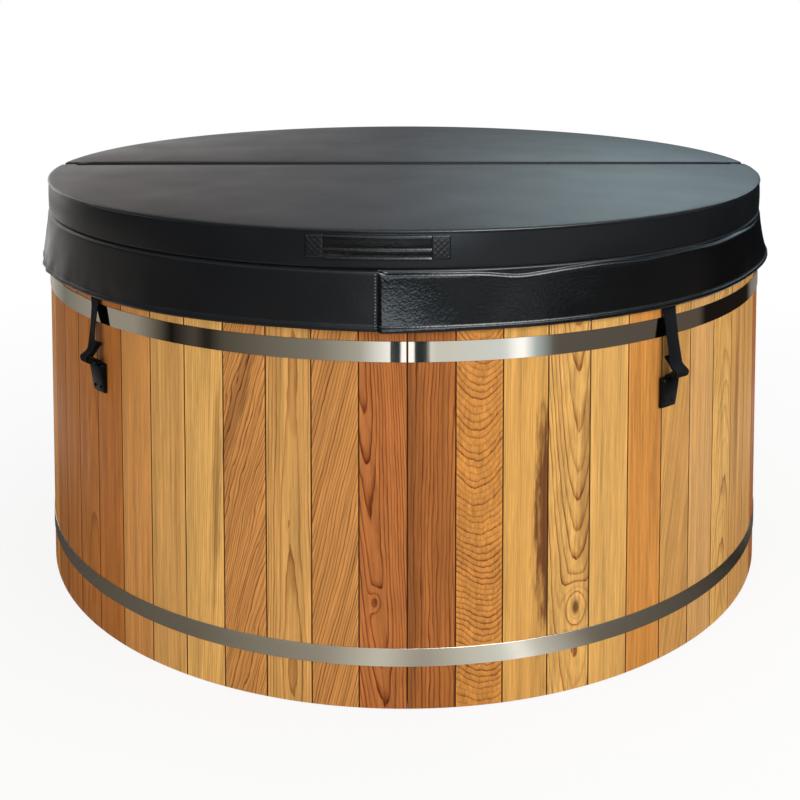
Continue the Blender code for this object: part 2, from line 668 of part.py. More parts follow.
cedar = material("oiled_cedar", (0.44, 0.21, 0.07), 0.55)
plain_cedar = material("plain_cedar", (0.50, 0.30, 0.15), 0.7)
bright_steel = material("stainless_band", (0.60, 0.59, 0.57), 0.22, 1.0)
vinyl = material("black_vinyl", (0.016, 0.017, 0.019), 0.42)
webbing = material("black_webbing", (0.010, 0.010, 0.011), 0.8)
clip_plastic = material("black_acetal", (0.010, 0.010, 0.011), 0.35)
brass = material("brass_fitting", (0.55, 0.38, 0.16), 0.3, 1.0)
lever_red = material("lever_grip", (0.35, 0.03, 0.02), 0.4)

walls = stave_panels(cedar)
floor_boards(plain_cedar)
floor_joists(plain_cedar)
hoop("upper_hoop", UPPER_HOOP_Z, 0.0, bright_steel)
hoop("lower_hoop", LOWER_HOOP_Z, math.pi + STAVE_PITCH / 2, bright_steel)
bench(plain_cedar)

lift_axis = empty("cover_lift_axis", (0, 0, HINGE_Z))
fold_axis = empty("cover_fold_axis", (0, 0, HINGE_Z), lift_axis)
for half, direction, carrier in (("rear", -1, lift_axis), ("front", 1, fold_axis)):
    cover_panel(f"{half}_cover_panel", direction, vinyl, carrier)
    skirt(f"{half}_skirt", direction, vinyl, carrier)
    for hand, strap_angle in STRAP_ANGLES.items():
        around = strap_angle if half == "front" else math.pi - strap_angle
        clip_set(hand, half, around, {"clip": clip_plastic, "webbing": webbing}, carrier)
hinge_strip(vinyl, lift_axis)
handle(vinyl, fold_axis)

for port_level, port_height in PORT_HEIGHTS.items():
    stove_port(port_level, port_height, walls, brass)
drain(walls, brass, lever_red)
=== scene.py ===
"""Looks of a round cedar hot tub with a folding vinyl cover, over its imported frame."""

import math
import random

import bmesh
import bpy
from mathutils import Matrix, Vector, noise


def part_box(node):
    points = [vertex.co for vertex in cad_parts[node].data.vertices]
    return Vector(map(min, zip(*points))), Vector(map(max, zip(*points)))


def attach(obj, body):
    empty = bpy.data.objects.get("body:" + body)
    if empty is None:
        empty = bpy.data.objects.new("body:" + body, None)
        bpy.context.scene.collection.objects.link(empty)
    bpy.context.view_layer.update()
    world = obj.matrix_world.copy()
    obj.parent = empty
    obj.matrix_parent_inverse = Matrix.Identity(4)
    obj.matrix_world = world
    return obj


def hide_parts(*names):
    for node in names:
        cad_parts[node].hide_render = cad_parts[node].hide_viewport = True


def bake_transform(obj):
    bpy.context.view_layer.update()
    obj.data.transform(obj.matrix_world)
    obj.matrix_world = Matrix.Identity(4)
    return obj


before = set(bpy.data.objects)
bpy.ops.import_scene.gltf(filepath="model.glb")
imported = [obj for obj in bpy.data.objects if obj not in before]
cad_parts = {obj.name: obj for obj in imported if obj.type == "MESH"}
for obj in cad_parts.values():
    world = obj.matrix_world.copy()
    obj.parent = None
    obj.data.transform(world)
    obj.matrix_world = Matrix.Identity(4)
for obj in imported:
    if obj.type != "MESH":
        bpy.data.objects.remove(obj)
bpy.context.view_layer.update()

# Studio: a white floor, soft lamps in front and above, and a dim room of glowing panels
# that only mirror rays meet, painted reflections for the steel and the vinyl. The camera
# stands 2.86 m from the tub's axis, a little to the left of the joint where the upper hoop meets.
TURN = 2 * math.pi
CAMERA_ANGLE = math.radians(-0.4)
CAMERA_DISTANCE = 2.86
CAMERA_HEIGHT = 1.3768
CAMERA_PITCH = math.radians(69.99)
CAMERA_LENS = 49.06
CAMERA_SHIFT = (-0.0050, -0.0032)
AMBIENT = 0.36
FLOOR_REACH = 200
FLOOR_DROP = 0.0005
BARE_FLOOR_RADIUS = 0.94


def linear(code):
    """Linear colour of an sRGB hex value."""
    channels = [int(code[i:i + 2], 16) / 255 for i in (1, 3, 5)]
    return (*[c / 12.92 if c <= 0.04045 else ((c + 0.055) / 1.055) ** 2.4 for c in channels], 1.0)


def add_node(tree, kind, links=None, stops=None, **settings):
    """Node with its settings, its linked or fixed inputs and its ramp stops."""
    node = tree.nodes.new("ShaderNode" + kind)
    for name, value in settings.items():
        setattr(node, name, value)
    for name, value in (links or {}).items():
        if isinstance(value, bpy.types.Node):
            value = value.outputs[0]
        if isinstance(value, bpy.types.NodeSocket):
            tree.links.new(value, node.inputs[name])
        else:
            node.inputs[name].default_value = value
    if stops:
        elements = node.color_ramp.elements
        while len(elements) < len(stops):
            elements.new(1.0)
        for element, (place, colour) in zip(elements, stops):
            element.position = place
            element.color = colour
    return node


def new_material(name):
    """Empty material and its node tree."""
    made = bpy.data.materials.new(name)
    made.use_nodes = True
    made.node_tree.nodes.clear()
    return made, made.node_tree


def new_object(name, bm, *materials, sharp=None):
    """Object at the origin from a finished bmesh, smooth up to an angle in degrees."""
    mesh = bpy.data.meshes.new(name)
    bm.to_mesh(mesh)
    bm.free()
    mesh.shade_smooth()
    if sharp:
        mesh.set_sharp_from_angle(angle=math.radians(sharp))
    obj = bpy.data.objects.new(name, mesh)
    bpy.context.scene.collection.objects.link(obj)
    for entry in materials:
        mesh.materials.append(entry)
    return obj


scene = bpy.context.scene
scene.view_settings.view_transform = "Standard"

camera = bpy.data.objects.new("camera", bpy.data.cameras.new("camera"))
scene.collection.objects.link(camera)
camera.location = (CAMERA_DISTANCE * math.sin(CAMERA_ANGLE),
                   -CAMERA_DISTANCE * math.cos(CAMERA_ANGLE), CAMERA_HEIGHT)
camera.rotation_euler = (CAMERA_PITCH, 0, CAMERA_ANGLE)
camera.data.lens = CAMERA_LENS
camera.data.shift_x, camera.data.shift_y = CAMERA_SHIFT
scene.camera = camera


def seen_directly(tree):
    """1 for rays that should meet the white backdrop: camera, mirror and clear ones."""
    path = add_node(tree, "LightPath")
    first = add_node(tree, "Math", {0: path.outputs["Is Camera Ray"], 1: path.outputs["Is Glossy Ray"]},
                     operation="MAXIMUM")
    return add_node(tree, "Math", {0: first, 1: path.outputs["Is Transmission Ray"]},
                    operation="MAXIMUM")


world = bpy.data.worlds.new("studio")
scene.world = world
world.use_nodes = True
sky = world.node_tree
sky.nodes.clear()
sky_level = add_node(sky, "MapRange", {"Value": seen_directly(sky), "To Min": AMBIENT, "To Max": 1.0})
sky_light = add_node(sky, "Background", {"Color": linear("#ffffff"), "Strength": sky_level})
add_node(sky, "OutputWorld", {"Surface": sky_light})

# The floor glows white towards the camera, wholly so from 3 m out, and takes a soft shadow
# near the tub. Under the tub it is plain paint, so that no glow shows through the joints.
white_floor, tree = new_material("white_floor")
place = add_node(tree, "TexCoord").outputs["Object"]
away = add_node(tree, "VectorMath", {0: place}, operation="LENGTH").outputs["Value"]
plain = add_node(tree, "MapRange", {"Value": away, "From Min": 1.0, "From Max": 3.0,
                                    "To Min": 0.88, "To Max": 1.0})
outside = add_node(tree, "Math", {0: away, 1: BARE_FLOOR_RADIUS}, operation="GREATER_THAN")
share = add_node(tree, "Math", {0: seen_directly(tree), 1: plain}, operation="MULTIPLY")
share = add_node(tree, "Math", {0: share, 1: outside}, operation="MULTIPLY")
paint = add_node(tree, "BsdfDiffuse", {"Color": linear("#f0efec")})
glow = add_node(tree, "Emission", {"Color": linear("#ffffff"), "Strength": 1.0})
mixed = add_node(tree, "MixShader", {0: share, 1: paint, 2: glow})
add_node(tree, "OutputMaterial", {"Surface": mixed})
bm = bmesh.new()
bmesh.ops.create_grid(bm, x_segments=1, y_segments=1, size=FLOOR_REACH)
bmesh.ops.translate(bm, verts=bm.verts, vec=(0, 0, -FLOOR_DROP))
new_object("floor", bm, white_floor)

# Mirrored room of glowing panels that only mirror rays meet, painted reflections for the
# steel and the vinyl: grey levels by compass degrees, the front at 0 and the right at 90. The
# wall has four bands: up to the hoops, behind the cover's side, above it and near the ceiling.
# A glowing ring of painted skylight reflections lies over it, and a glowing ring on the floor
# round the tub paints the reflection of a mat.
LOW_WALL = ((-180, "#7c7e80"), (-124, "#97938a"), (-108, "#6d6a63"), (-90, "#8c877d"), (-70, "#8c877d"),
            (-62, "#554e46"), (-58, "#0c0a08"), (-51, "#46413a"), (-47, "#1a1714"), (-43, "#4b463e"),
            (-20, "#78736a"), (-10, "#a4a198"), (-2, "#ffffff"), (4, "#ffffff"), (6, "#c6c4bd"),
            (22, "#ccd0d0"), (25, "#ffffff"), (27, "#ffffff"), (29, "#aeb9bb"), (34, "#55504a"),
            (80, "#514840"), (83, "#1a1512"), (112, "#1a1512"), (117, "#6f6a64"), (180, "#7c7e80"))
MID_WALL = ((-180, "#8d8f91"), (-140, "#f4f3f1"), (-110, "#e6e4e0"), (-98, "#454546"), (-60, "#303136"),
            (-10, "#262a2f"), (8, "#262c30"), (17, "#8a9aa2"), (36, "#e4f2fa"), (56, "#83929a"),
            (68, "#1a2226"), (140, "#12181c"), (180, "#8d8f91"))
HIGH_WALL = ((-180, "#6c6e70"), (-140, "#f4f3f1"), (-110, "#e6e4e0"), (-98, "#454546"), (-60, "#2e2f33"),
             (-10, "#3a3e42"), (28, "#30383d"), (140, "#22282c"), (180, "#6c6e70"))
TOP_WALL = ((-180, "#7a7c7e"), (-150, "#625550"), (-140, "#6a5f5a"), (-128, "#c4c0ba"), (-108, "#b4b0aa"),
            (-98, "#524f4e"), (0, "#8d9498"), (90, "#5a656b"), (135, "#b4c8d0"), (152, "#c6dde3"),
            (180, "#7a7c7e"))
SKYLIGHTS = ((-180, "#15171a"), (-22, "#2a2d30"), (-6, "#5c6265"), (10, "#8c9396"), (15, "#ffffff"),
             (28, "#ffffff"), (48, "#b4babd"), (62, "#34393c"), (180, "#15171a"))
MAT = ((-180, "#6a6660"), (-80, "#3f3a35"), (-36, "#5d574e"), (-13, "#89847a"), (-4, "#c2bfb7"),
       (2, "#8e8981"), (10, "#bdbbb4"), (16, "#cacdcb"), (18, "#ffffff"), (21, "#c0beb8"),
       (31, "#615b53"), (70, "#282320"), (81, "#46413c"), (180, "#6a6660"))
FRONT_WINDOW = ((-180, "#dcebf2"), (180, "#dcebf2"))
LEFT_END = ((-180, "#efedea"), (180, "#efedea"))
RIGHT_END = ((-180, "#767575"), (100, "#0e1113"), (138, "#0e1113"), (152, "#767575"), (180, "#767575"))
DARK_CARD = ((-180, "#1c2426"), (180, "#1c2426"))
PLINTH = ((-180, "#0e1113"), (180, "#0e1113"))
ROOM_RADIUS = 2.2
CARD_RADIUS = 2.15
PLINTH_RADIUS = 2.17
ROOM_LEVELS = (0, 0.74, 1.0, 1.35, 2.6)
SKYLIGHT_LINE = ((2.1, 1.95), (0.9, 3.0))
MAT_LINE = ((0.97, 0.0002), (1.5, 0.0002))
ROOM_STEPS = 120
ROOM_FADE = (1.45, 1.85)
ROOM_LIFT = 2.4
ROOM_GLOW = 1.6
SKY_GLOW = 6.5
WINDOW_GLOW = 5.6
LEFT_GLOW = 1.9
# Glowing cards before the wall, seen only in mirrors, that paint reflected windows, bright
# patches and dark bars: radius, heights from and to, grey levels, glow, compass from and to.
CARDS = {"front_window": (CARD_RADIUS, 1.06, 1.42, FRONT_WINDOW, WINDOW_GLOW, -8, 14),
         "left_end": (CARD_RADIUS, 0.47, 0.62, LEFT_END, LEFT_GLOW, -142, -108),
         "right_dado": (CARD_RADIUS, 0.74, 0.86, PLINTH, ROOM_GLOW, 14, 62),
         "room_plinth": (PLINTH_RADIUS, 0.0, 0.48, PLINTH, ROOM_GLOW, -18, 55),
         "right_end": (CARD_RADIUS, 0.47, 0.80, RIGHT_END, ROOM_GLOW, 104, 152),
         "left_card": (CARD_RADIUS, 0.0, 0.74, DARK_CARD, ROOM_GLOW, -3.25, -2.0),
         "right_card": (CARD_RADIUS, 0.0, 0.74, DARK_CARD, ROOM_GLOW, 3.4, 5.2)}


def room_part(name, line, levels, level=ROOM_GLOW, start=-180, end=180):
    """Glowing surface that only mirror rays meet, a painted reflection: a line of (radius, height) turned
    about the tub's axis.
    """
    made, tree = new_material(name)
    axes = add_node(tree, "SeparateXYZ", {0: add_node(tree, "TexCoord").outputs["Object"]})
    facing = add_node(tree, "Math", {0: axes.outputs["Y"], 1: -1.0}, operation="MULTIPLY")
    compass = add_node(tree, "Math", {0: axes.outputs["X"], 1: facing}, operation="ARCTAN2")
    turned = add_node(tree, "MapRange", {"Value": compass, "From Min": -math.pi, "From Max": math.pi})
    stops = [((angle + 180) / 360, linear(code)) for angle, code in levels]
    colours = add_node(tree, "ValToRGB", {0: turned}, stops)
    lift = add_node(tree, "MapRange", {
        "Value": axes.outputs["Z"], "From Min": ROOM_FADE[0], "From Max": ROOM_FADE[1],
        "To Min": level, "To Max": ROOM_LIFT * level})
    glow = add_node(tree, "Emission", {"Color": colours, "Strength": lift})
    add_node(tree, "OutputMaterial", {"Surface": glow})
    bm = bmesh.new()
    verts = [bm.verts.new((0, -r, z)) for r, z in line]
    bmesh.ops.rotate(bm, verts=verts, cent=(0, 0, 0),
                     matrix=Matrix.Rotation(math.radians(start), 3, "Z"))
    edges = [bm.edges.new(pair) for pair in zip(verts, verts[1:])]
    bmesh.ops.spin(bm, geom=verts + edges, cent=(0, 0, 0), axis=(0, 0, 1),
                   angle=math.radians(end - start), steps=ROOM_STEPS)
    room = new_object(name, bm, made)
    for ray in ("camera", "diffuse", "transmission", "shadow", "volume_scatter"):
        setattr(room, f"visible_{ray}", False)


walls = zip(("room_low", "room_mid", "room_high", "room_top"), ROOM_LEVELS, ROOM_LEVELS[1:],
            (LOW_WALL, MID_WALL, HIGH_WALL, TOP_WALL))
for name, low, high, levels in walls:
    room_part(name, ((ROOM_RADIUS, low), (ROOM_RADIUS, high)), levels)
room_part("room_skylights", SKYLIGHT_LINE, SKYLIGHTS, SKY_GLOW)
room_part("room_mat", MAT_LINE, MAT)
for name, (radius, low, high, *finish) in CARDS.items():
    room_part(name, ((radius, low), (radius, high)), *finish)


def lamp(name, place, aim, size, power):
    """Square soft box that looks at a point and shows in no mirror."""
    light = bpy.data.lights.new(name, "AREA")
    light.size = size
    light.energy = power
    obj = bpy.data.objects.new(name, light)
    scene.collection.objects.link(obj)
    obj.location = place
    obj.rotation_euler = (Vector(aim) - Vector(place)).to_track_quat("-Z", "Y").to_euler()
    obj.visible_glossy = False


lamp("key", (2.4, -3.0, 2.2), (0, 0, 0.5), 2.2, 72)
lamp("fill", (-2.4, -3.3, 1.0), (0, 0, 0.55), 2.4, 46)
lamp("overhead", (0.4, 0.6, 3.6), (0, 0, 0.9), 2.4, 40)

# Wall: 61 tapered staves of western red cedar, 40 mm thick, planed, oiled and stood
# edge to edge. Each has eased outer edges and the croze groove that holds the
# floor, and comes from its own board, so tone, figure and knots change at each joint.
STAVE_COUNT = 61
STAVE_PANELS = 12
STAVE_PITCH = TURN / STAVE_COUNT
CHORD = math.cos(STAVE_PITCH / 2)
STAVE_THICKNESS = 0.040
STAVE_FOOT = 0.0015
STAVE_TOP = 0.908
BASE_RADIUS = 0.9654
TOP_RADIUS = 0.8846
STAVE_EASE = 0.0016
STAVE_GAP = 0.0003
STAVE_STEPS = 4
STAVE_SHARP = 35
CROZE_DEPTH = 0.010
FLOOR_HEIGHTS = (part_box("floor_board_4")[0][2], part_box("floor_board_4")[1][2])
LEAN = math.atan2(BASE_RADIUS - TOP_RADIUS, STAVE_TOP)


def wall_radius(z):
    """Outer radius of the leaning wall at height z."""
    return BASE_RADIUS + (TOP_RADIUS - BASE_RADIUS) * z / STAVE_TOP


def polar(angle, radius, z):
    """Point at an angle from the front, a distance from the axis and a height."""
    return Vector((radius * math.sin(angle), -radius * math.cos(angle), z))


def ramp(value, start, end):
    """Share of the way from start to end, held at 0 and 1 outside."""
    return min(1.0, max(0.0, (value - start) / (end - start)))


def wall_frame(angle, z):
    """Frame on the outer wall: X straight out of the wood, Z up the stave."""
    out = polar(angle, math.cos(LEAN), math.sin(LEAN))
    up = polar(angle, -math.sin(LEAN), math.cos(LEAN))
    turn = Matrix((out, up.cross(out), up)).transposed().to_4x4()
    return Matrix.Translation(polar(angle, wall_radius(z), z)) @ turn


def sweep(bm, points, angle, steps):
    """Closed outline swept about the tub's axis, with its two ends filled."""
    verts = [bm.verts.new(point) for point in points]
    edges = [bm.edges.new((verts[i - 1], verts[i])) for i in range(len(verts))]
    last = bmesh.ops.spin(bm, geom=verts + edges, cent=(0, 0, 0), axis=(0, 0, 1), angle=angle,
                          steps=steps)
    ends = edges + [e for e in last["geom_last"] if isinstance(e, bmesh.types.BMEdge)]
    bmesh.ops.holes_fill(bm, edges=ends, sides=0)
    return ends


def round_edges(bm, edges, offset, steps):
    """Even round along edges, in a few steps."""
    bmesh.ops.bevel(bm, geom=list(edges), offset=offset, offset_type="OFFSET", affect="EDGES",
                    segments=steps, profile=0.5, material=-1)


def add_stave(bm, index):
    """One stave: side profile swept over its share of the circle, outer corners eased."""
    low, high = FLOOR_HEIGHTS[0] - STAVE_GAP / 2, FLOOR_HEIGHTS[1] + STAVE_GAP / 2
    outer = [(wall_radius(STAVE_FOOT) - STAVE_EASE, STAVE_FOOT),
             (wall_radius(STAVE_FOOT + STAVE_EASE), STAVE_FOOT + STAVE_EASE),
             (wall_radius(STAVE_TOP - STAVE_EASE), STAVE_TOP - STAVE_EASE),
             (wall_radius(STAVE_TOP) - STAVE_EASE, STAVE_TOP)]
    inner = [(STAVE_TOP, 0), (high, 0), (high, CROZE_DEPTH), (low, CROZE_DEPTH), (low, 0), (STAVE_FOOT, 0)]
    profile = outer + [((wall_radius(z) - STAVE_THICKNESS + cut) * CHORD, z) for z, cut in inner]
    half_gap = STAVE_GAP / 2 / TOP_RADIUS
    start = index * STAVE_PITCH + half_gap
    points = [polar(start, r, z) for r, z in profile]
    ends = sweep(bm, points, STAVE_PITCH - 2 * half_gap, STAVE_STEPS)
    long_edges = [e for e in ends if e.calc_length() > 0.8 * STAVE_TOP
                  and e.verts[0].co.xy.length > wall_radius(e.verts[0].co.z) - STAVE_EASE]
    round_edges(bm, long_edges, STAVE_EASE, 2)


# Cedar: soft straight-grained wood under a thin oil, satin, with growth rings cut
# as arches or stripes, thin darker latewood lines, streaks, stains and a few knots.
# Rings are 2.8 to 8 mm apart, fibres are drawn 1.6 mm wide so that they show.
CEDAR_TONES = {"straw": "#d8a65c", "gold": "#d09c52", "honey": "#cd9955", "amber": "#c98840",
               "tan": "#c48848", "rose": "#cf9d60", "russet": "#b26c36", "umber": "#a86630",
               "brown": "#a9682e"}
LATEWOOD = "#b08055"
KNOT_BROWN = "#5b3218"
STAIN_BROWN = "#6e3f1e"
# Painted shade for the narrow gap at each joint between staves.
JOINT_SHADE_BROWN = "#2c160a"
LATE_SEASON = ((0.0, 0.3), (0.07, 0.0), (0.60, 0.06), (0.84, 0.5), (0.95, 1.0))
BOARD_VALUES = ("log", "tone", "figure", "knot", "stain")

cedar_stave, tree = new_material("oiled_cedar")
board = {name: add_node(tree, "Attribute", attribute_name=name) for name in BOARD_VALUES}
figure, knot, stain = [add_node(tree, "SeparateXYZ", {0: board[name].outputs["Vector"]})
                       for name in ("figure", "knot", "stain")]


def grain_noise(tree, coordinates, across, along, detail):
    """Noise about zero, drawn out along the trunk, with features of these sizes in millimetres."""
    stretch = (1000 / across, 1000 / across, 1000 / along)
    scaled = add_node(tree, "Mapping", {"Vector": coordinates, "Scale": stretch})
    drawn = add_node(tree, "TexNoise", {"Vector": scaled, "Scale": 1.0, "Detail": detail,
                                        "Roughness": 0.55})
    return add_node(tree, "Math", {0: drawn, 1: 0.5}, operation="SUBTRACT")


def wood_colour(tree, log, tone, waviness, ring_count, contrast, knot_bump, dark_spot):
    """Colour, latewood and fibre of wood cut from a trunk whose axis is the log coordinate's Z."""
    flat = add_node(tree, "VectorMath", {0: log, 1: (1, 1, 0)}, operation="MULTIPLY")
    distance = add_node(tree, "VectorMath", {0: flat}, operation="LENGTH").outputs["Value"]
    wide, narrow = grain_noise(tree, log, 90, 420, 1.0), grain_noise(tree, log, 22, 90, 2.0)
    ripple = add_node(tree, "Math", {0: narrow, 1: 0.22, 2: wide}, operation="MULTIPLY_ADD")
    moved = add_node(tree, "Math", {0: ripple, 1: waviness, 2: distance}, operation="MULTIPLY_ADD")
    bumped = add_node(tree, "Math", {0: moved, 1: knot_bump}, operation="ADD")
    rings = add_node(tree, "Math", {0: bumped, 1: ring_count}, operation="MULTIPLY")
    season = add_node(tree, "Math", {0: rings}, operation="FRACT")
    count = add_node(tree, "Math", {0: rings}, operation="FLOOR")
    year = add_node(tree, "TexWhiteNoise", {"W": count}, noise_dimensions="1D")
    stops = [(place, (level, level, level, 1)) for place, level in LATE_SEASON]
    late = add_node(tree, "ValToRGB", {0: season}, stops)
    patches = grain_noise(tree, log, 7, 160, 2.0)
    broken = add_node(tree, "Math", {0: patches, 1: 1.6, 2: 0.9}, operation="MULTIPLY_ADD")
    strength = add_node(tree, "Math", {0: year, 1: 0.9, 2: 0.25}, operation="MULTIPLY_ADD")
    strength = add_node(tree, "Math", {0: strength, 1: contrast}, operation="MULTIPLY")
    strength = add_node(tree, "Math", {0: strength, 1: broken}, operation="MULTIPLY", use_clamp=True)
    dark = add_node(tree, "Math", {0: late, 1: strength}, operation="MULTIPLY")
    fibre = grain_noise(tree, log, 1.6, 60, 2.0)
    bands, streaks = grain_noise(tree, log, 18, 900, 2.0), grain_noise(tree, log, 5, 260, 3.0)
    light = 1.0
    for layer, part in ((bands, 0.75), (streaks, 0.90), (fibre, 0.60)):
        light = add_node(tree, "Math", {0: layer, 1: part, 2: light}, operation="MULTIPLY_ADD")
    lit = add_node(tree, "VectorMath", {0: tone, "Scale": light}, operation="SCALE").outputs[0]
    for _ in range(2):
        lit = add_node(tree, "Mix", {0: dark, 6: lit, 7: linear(LATEWOOD)}, data_type="RGBA",
                       blend_type="MULTIPLY").outputs[2]
    colour = add_node(tree, "Mix", {0: dark_spot, 6: lit, 7: linear(KNOT_BROWN)}, data_type="RGBA")
    return colour.outputs[2], dark, fibre


def wood_finish(tree, colour, dark, fibre, roughness):
    """Satin oiled wood: latewood slightly smoother, fibres raised a little."""
    rough = add_node(tree, "Math", {0: dark, 1: -0.10, 2: roughness}, operation="MULTIPLY_ADD")
    bump = add_node(tree, "Bump", {"Strength": 0.25, "Distance": 0.0006, "Height": fibre})
    shader = add_node(tree, "BsdfPrincipled", {
        "Base Color": colour, "Roughness": rough, "IOR": 1.5, "Specular IOR Level": 0.12, "Normal": bump})
    add_node(tree, "OutputMaterial", {"Surface": shader})


span = add_node(tree, "CombineXYZ", {0: knot.outputs["X"], 1: knot.outputs["Y"]})
reach = add_node(tree, "VectorMath", {0: span}, operation="LENGTH").outputs["Value"]
relative = add_node(tree, "Math", {0: reach, 1: knot.outputs["Z"]}, operation="DIVIDE")
squared = add_node(tree, "Math", {0: relative, 1: relative}, operation="MULTIPLY")
falling = add_node(tree, "Math", {0: squared, 1: -0.12}, operation="MULTIPLY")
fading = add_node(tree, "Math", {0: falling}, operation="EXPONENT")
bulge = add_node(tree, "Math", {0: fading, 1: knot.outputs["Z"]}, operation="MULTIPLY")
knot_bump = add_node(tree, "Math", {0: bulge, 1: 2.6}, operation="MULTIPLY")
knot_core = add_node(tree, "MapRange", {"Value": relative, "From Min": 0.55, "From Max": 1.25,
                                        "To Min": 0.85, "To Max": 0.0})
stain_place = add_node(tree, "CombineXYZ", {0: stain.outputs["X"], 1: stain.outputs["Y"]})
stain_away = add_node(tree, "VectorMath", {0: stain_place}, operation="LENGTH").outputs["Value"]
stain_noise = grain_noise(tree, board["log"].outputs["Vector"], 9, 70, 3.0)
stain_reach = add_node(tree, "Math", {0: stain_noise, 1: 1.4, 2: stain_away}, operation="MULTIPLY_ADD")
stain_share = add_node(tree, "MapRange", {"Value": stain_reach, "From Min": 0.45, "From Max": 1.05,
                                          "To Min": 1.0, "To Max": 0.0}, interpolation_type="SMOOTHSTEP")
stained = add_node(tree, "Math", {0: stain_share, 1: stain.outputs["Z"]}, operation="MULTIPLY")
tone = add_node(tree, "Mix", {0: stained, 6: board["tone"].outputs["Color"], 7: linear(STAIN_BROWN)},
                data_type="RGBA")
colour, dark, fibre = wood_colour(
    tree, board["log"].outputs["Vector"], tone.outputs[2], figure.outputs["X"], figure.outputs["Y"],
    figure.outputs["Z"], knot_bump, knot_core)
# Painted shade: near each side edge of a stave the colour darkens smoothly to a deep brown, standing in for
# the shade in the narrow gap between staves.
beside = add_node(tree, "Math", {0: board["tone"].outputs["Alpha"]}, operation="ABSOLUTE")
joint = add_node(tree, "MapRange", {"Value": beside, "From Min": 0.95, "From Max": 0.985,
                                    "To Min": 0.0, "To Max": 0.92}, interpolation_type="SMOOTHSTEP")
# Painted highlight: just inside that dark edge the colour is lifted by up to 12%, for the light that the
# eased edge catches.
eased = add_node(tree, "MapRange", {"Value": beside, "From Min": 0.86, "From Max": 0.93,
                                    "To Min": 1.0, "To Max": 1.12}, interpolation_type="SMOOTHSTEP")
wear_and_edge_highlight = add_node(tree, "VectorMath", {0: colour, "Scale": eased}, operation="SCALE")
edged = add_node(tree, "Mix", {0: joint, 6: wear_and_edge_highlight, 7: linear(JOINT_SHADE_BROWN)}, data_type="RGBA")
wood_finish(tree, edged.outputs[2], dark, fibre, 0.5)

# Boards of the front staves: tone, pith across and behind the face in mm, its drift
# across and inwards in mm per metre, ring spacing in mm, waviness in mm, contrast.
FRONT_BOARDS = {
    -11: ("brown", 160, 60, 10, 8, 3.0, 9, 0.35), -10: ("brown", -150, 50, 14, 10, 3.2, 8, 0.3),
    -9: ("brown", 20, 90, 4, 34, 5.0, 10, 0.35), -8: ("brown", -120, 60, 16, 20, 3.6, 10, 0.35),
    -7: ("tan", 130, 40, 12, 16, 3.4, 8, 0.3), -6: ("honey", -180, 60, 6, 6, 2.8, 6, 0.3),
    -5: ("straw", 75, 36, 26, 18, 4.5, 10, 0.4), -4: ("tan", -420, 44, 280, 20, 6.2, 64, 0.9),
    -3: ("honey", 6, 46, 4, 9, 4.4, 14, 0.65), -2: ("tan", -420, 48, 240, 12, 6.4, 34, 0.9),
    -1: ("russet", 6, 50, -73, -35, 4.6, 18, 0.95), 0: ("umber", 120, 30, 8, 6, 8.0, 44, 0.8),
    1: ("amber", 0, 320, 4, -240, 3.2, 15, 0.8), 2: ("gold", -95, 40, 10, 10, 3.6, 7, 0.2),
    3: ("straw", 18, 92, 4, -58, 4.8, 14, 0.75), 4: ("straw", 150, 60, 14, 10, 3.4, 8, 0.2),
    5: ("amber", -140, 50, 8, 16, 3.8, 8, 0.2), 6: ("honey", -240, 46, 150, 16, 4.2, 12, 0.6),
    7: ("rose", -100, 60, 10, 14, 3.2, 8, 0.35), 8: ("straw", 8, 70, 12, 50, 4.4, 16, 0.55),
    9: ("honey", 90, 42, 20, 14, 3.0, 10, 0.7), 10: ("honey", -130, 60, 12, 12, 3.0, 9, 0.5)}
# Knots: place across, height and radius in mm. Stains: place across, height, half width and
# half height in mm, strength; a stain leans with its board's grain.
KNOTS = {-1: (-16, 240, 4), 3: (17, 192, 9)}
STAINS = {-5: (30, 430, 13, 260, 0.35), -4: (-26, 600, 22, 240, 0.5), 0: (-36, 480, 26, 620, 0.35),
          2: (52, 400, 40, 340, 0.95), 3: (46, 440, 30, 330, 0.42), 9: (-10, 500, 14, 300, 0.4)}
NO_KNOT = (500, 0, 5)
NO_STAIN = (500, 0, 5, 5, 0)
board_draws = random.Random(59)


def stave_board(index):
    """A stave's board, knot and stain: the front ones as listed, the others drawn in turn."""
    if index in FRONT_BOARDS:
        return FRONT_BOARDS[index] + (KNOTS.get(index, NO_KNOT), STAINS.get(index, NO_STAIN))
    flat_sawn = board_draws.random() < 0.45
    side = board_draws.choice((-1, 1))
    across = board_draws.uniform(-15, 15) if flat_sawn else side * board_draws.uniform(80, 180)
    inwards = board_draws.uniform(25, 60) if flat_sawn else board_draws.uniform(6, 20)
    has_knot = board_draws.random() < 0.12
    spot = (side * board_draws.uniform(5, 28), board_draws.uniform(180, 760), board_draws.uniform(6, 10))
    tone = board_draws.choice(list(CEDAR_TONES))
    return (tone, across, board_draws.uniform(38, 80), side * board_draws.uniform(4, 40), inwards,
            board_draws.uniform(2.8, 4.8), board_draws.uniform(6, 16), board_draws.uniform(0.25, 0.65),
            spot if has_knot else NO_KNOT, NO_STAIN)


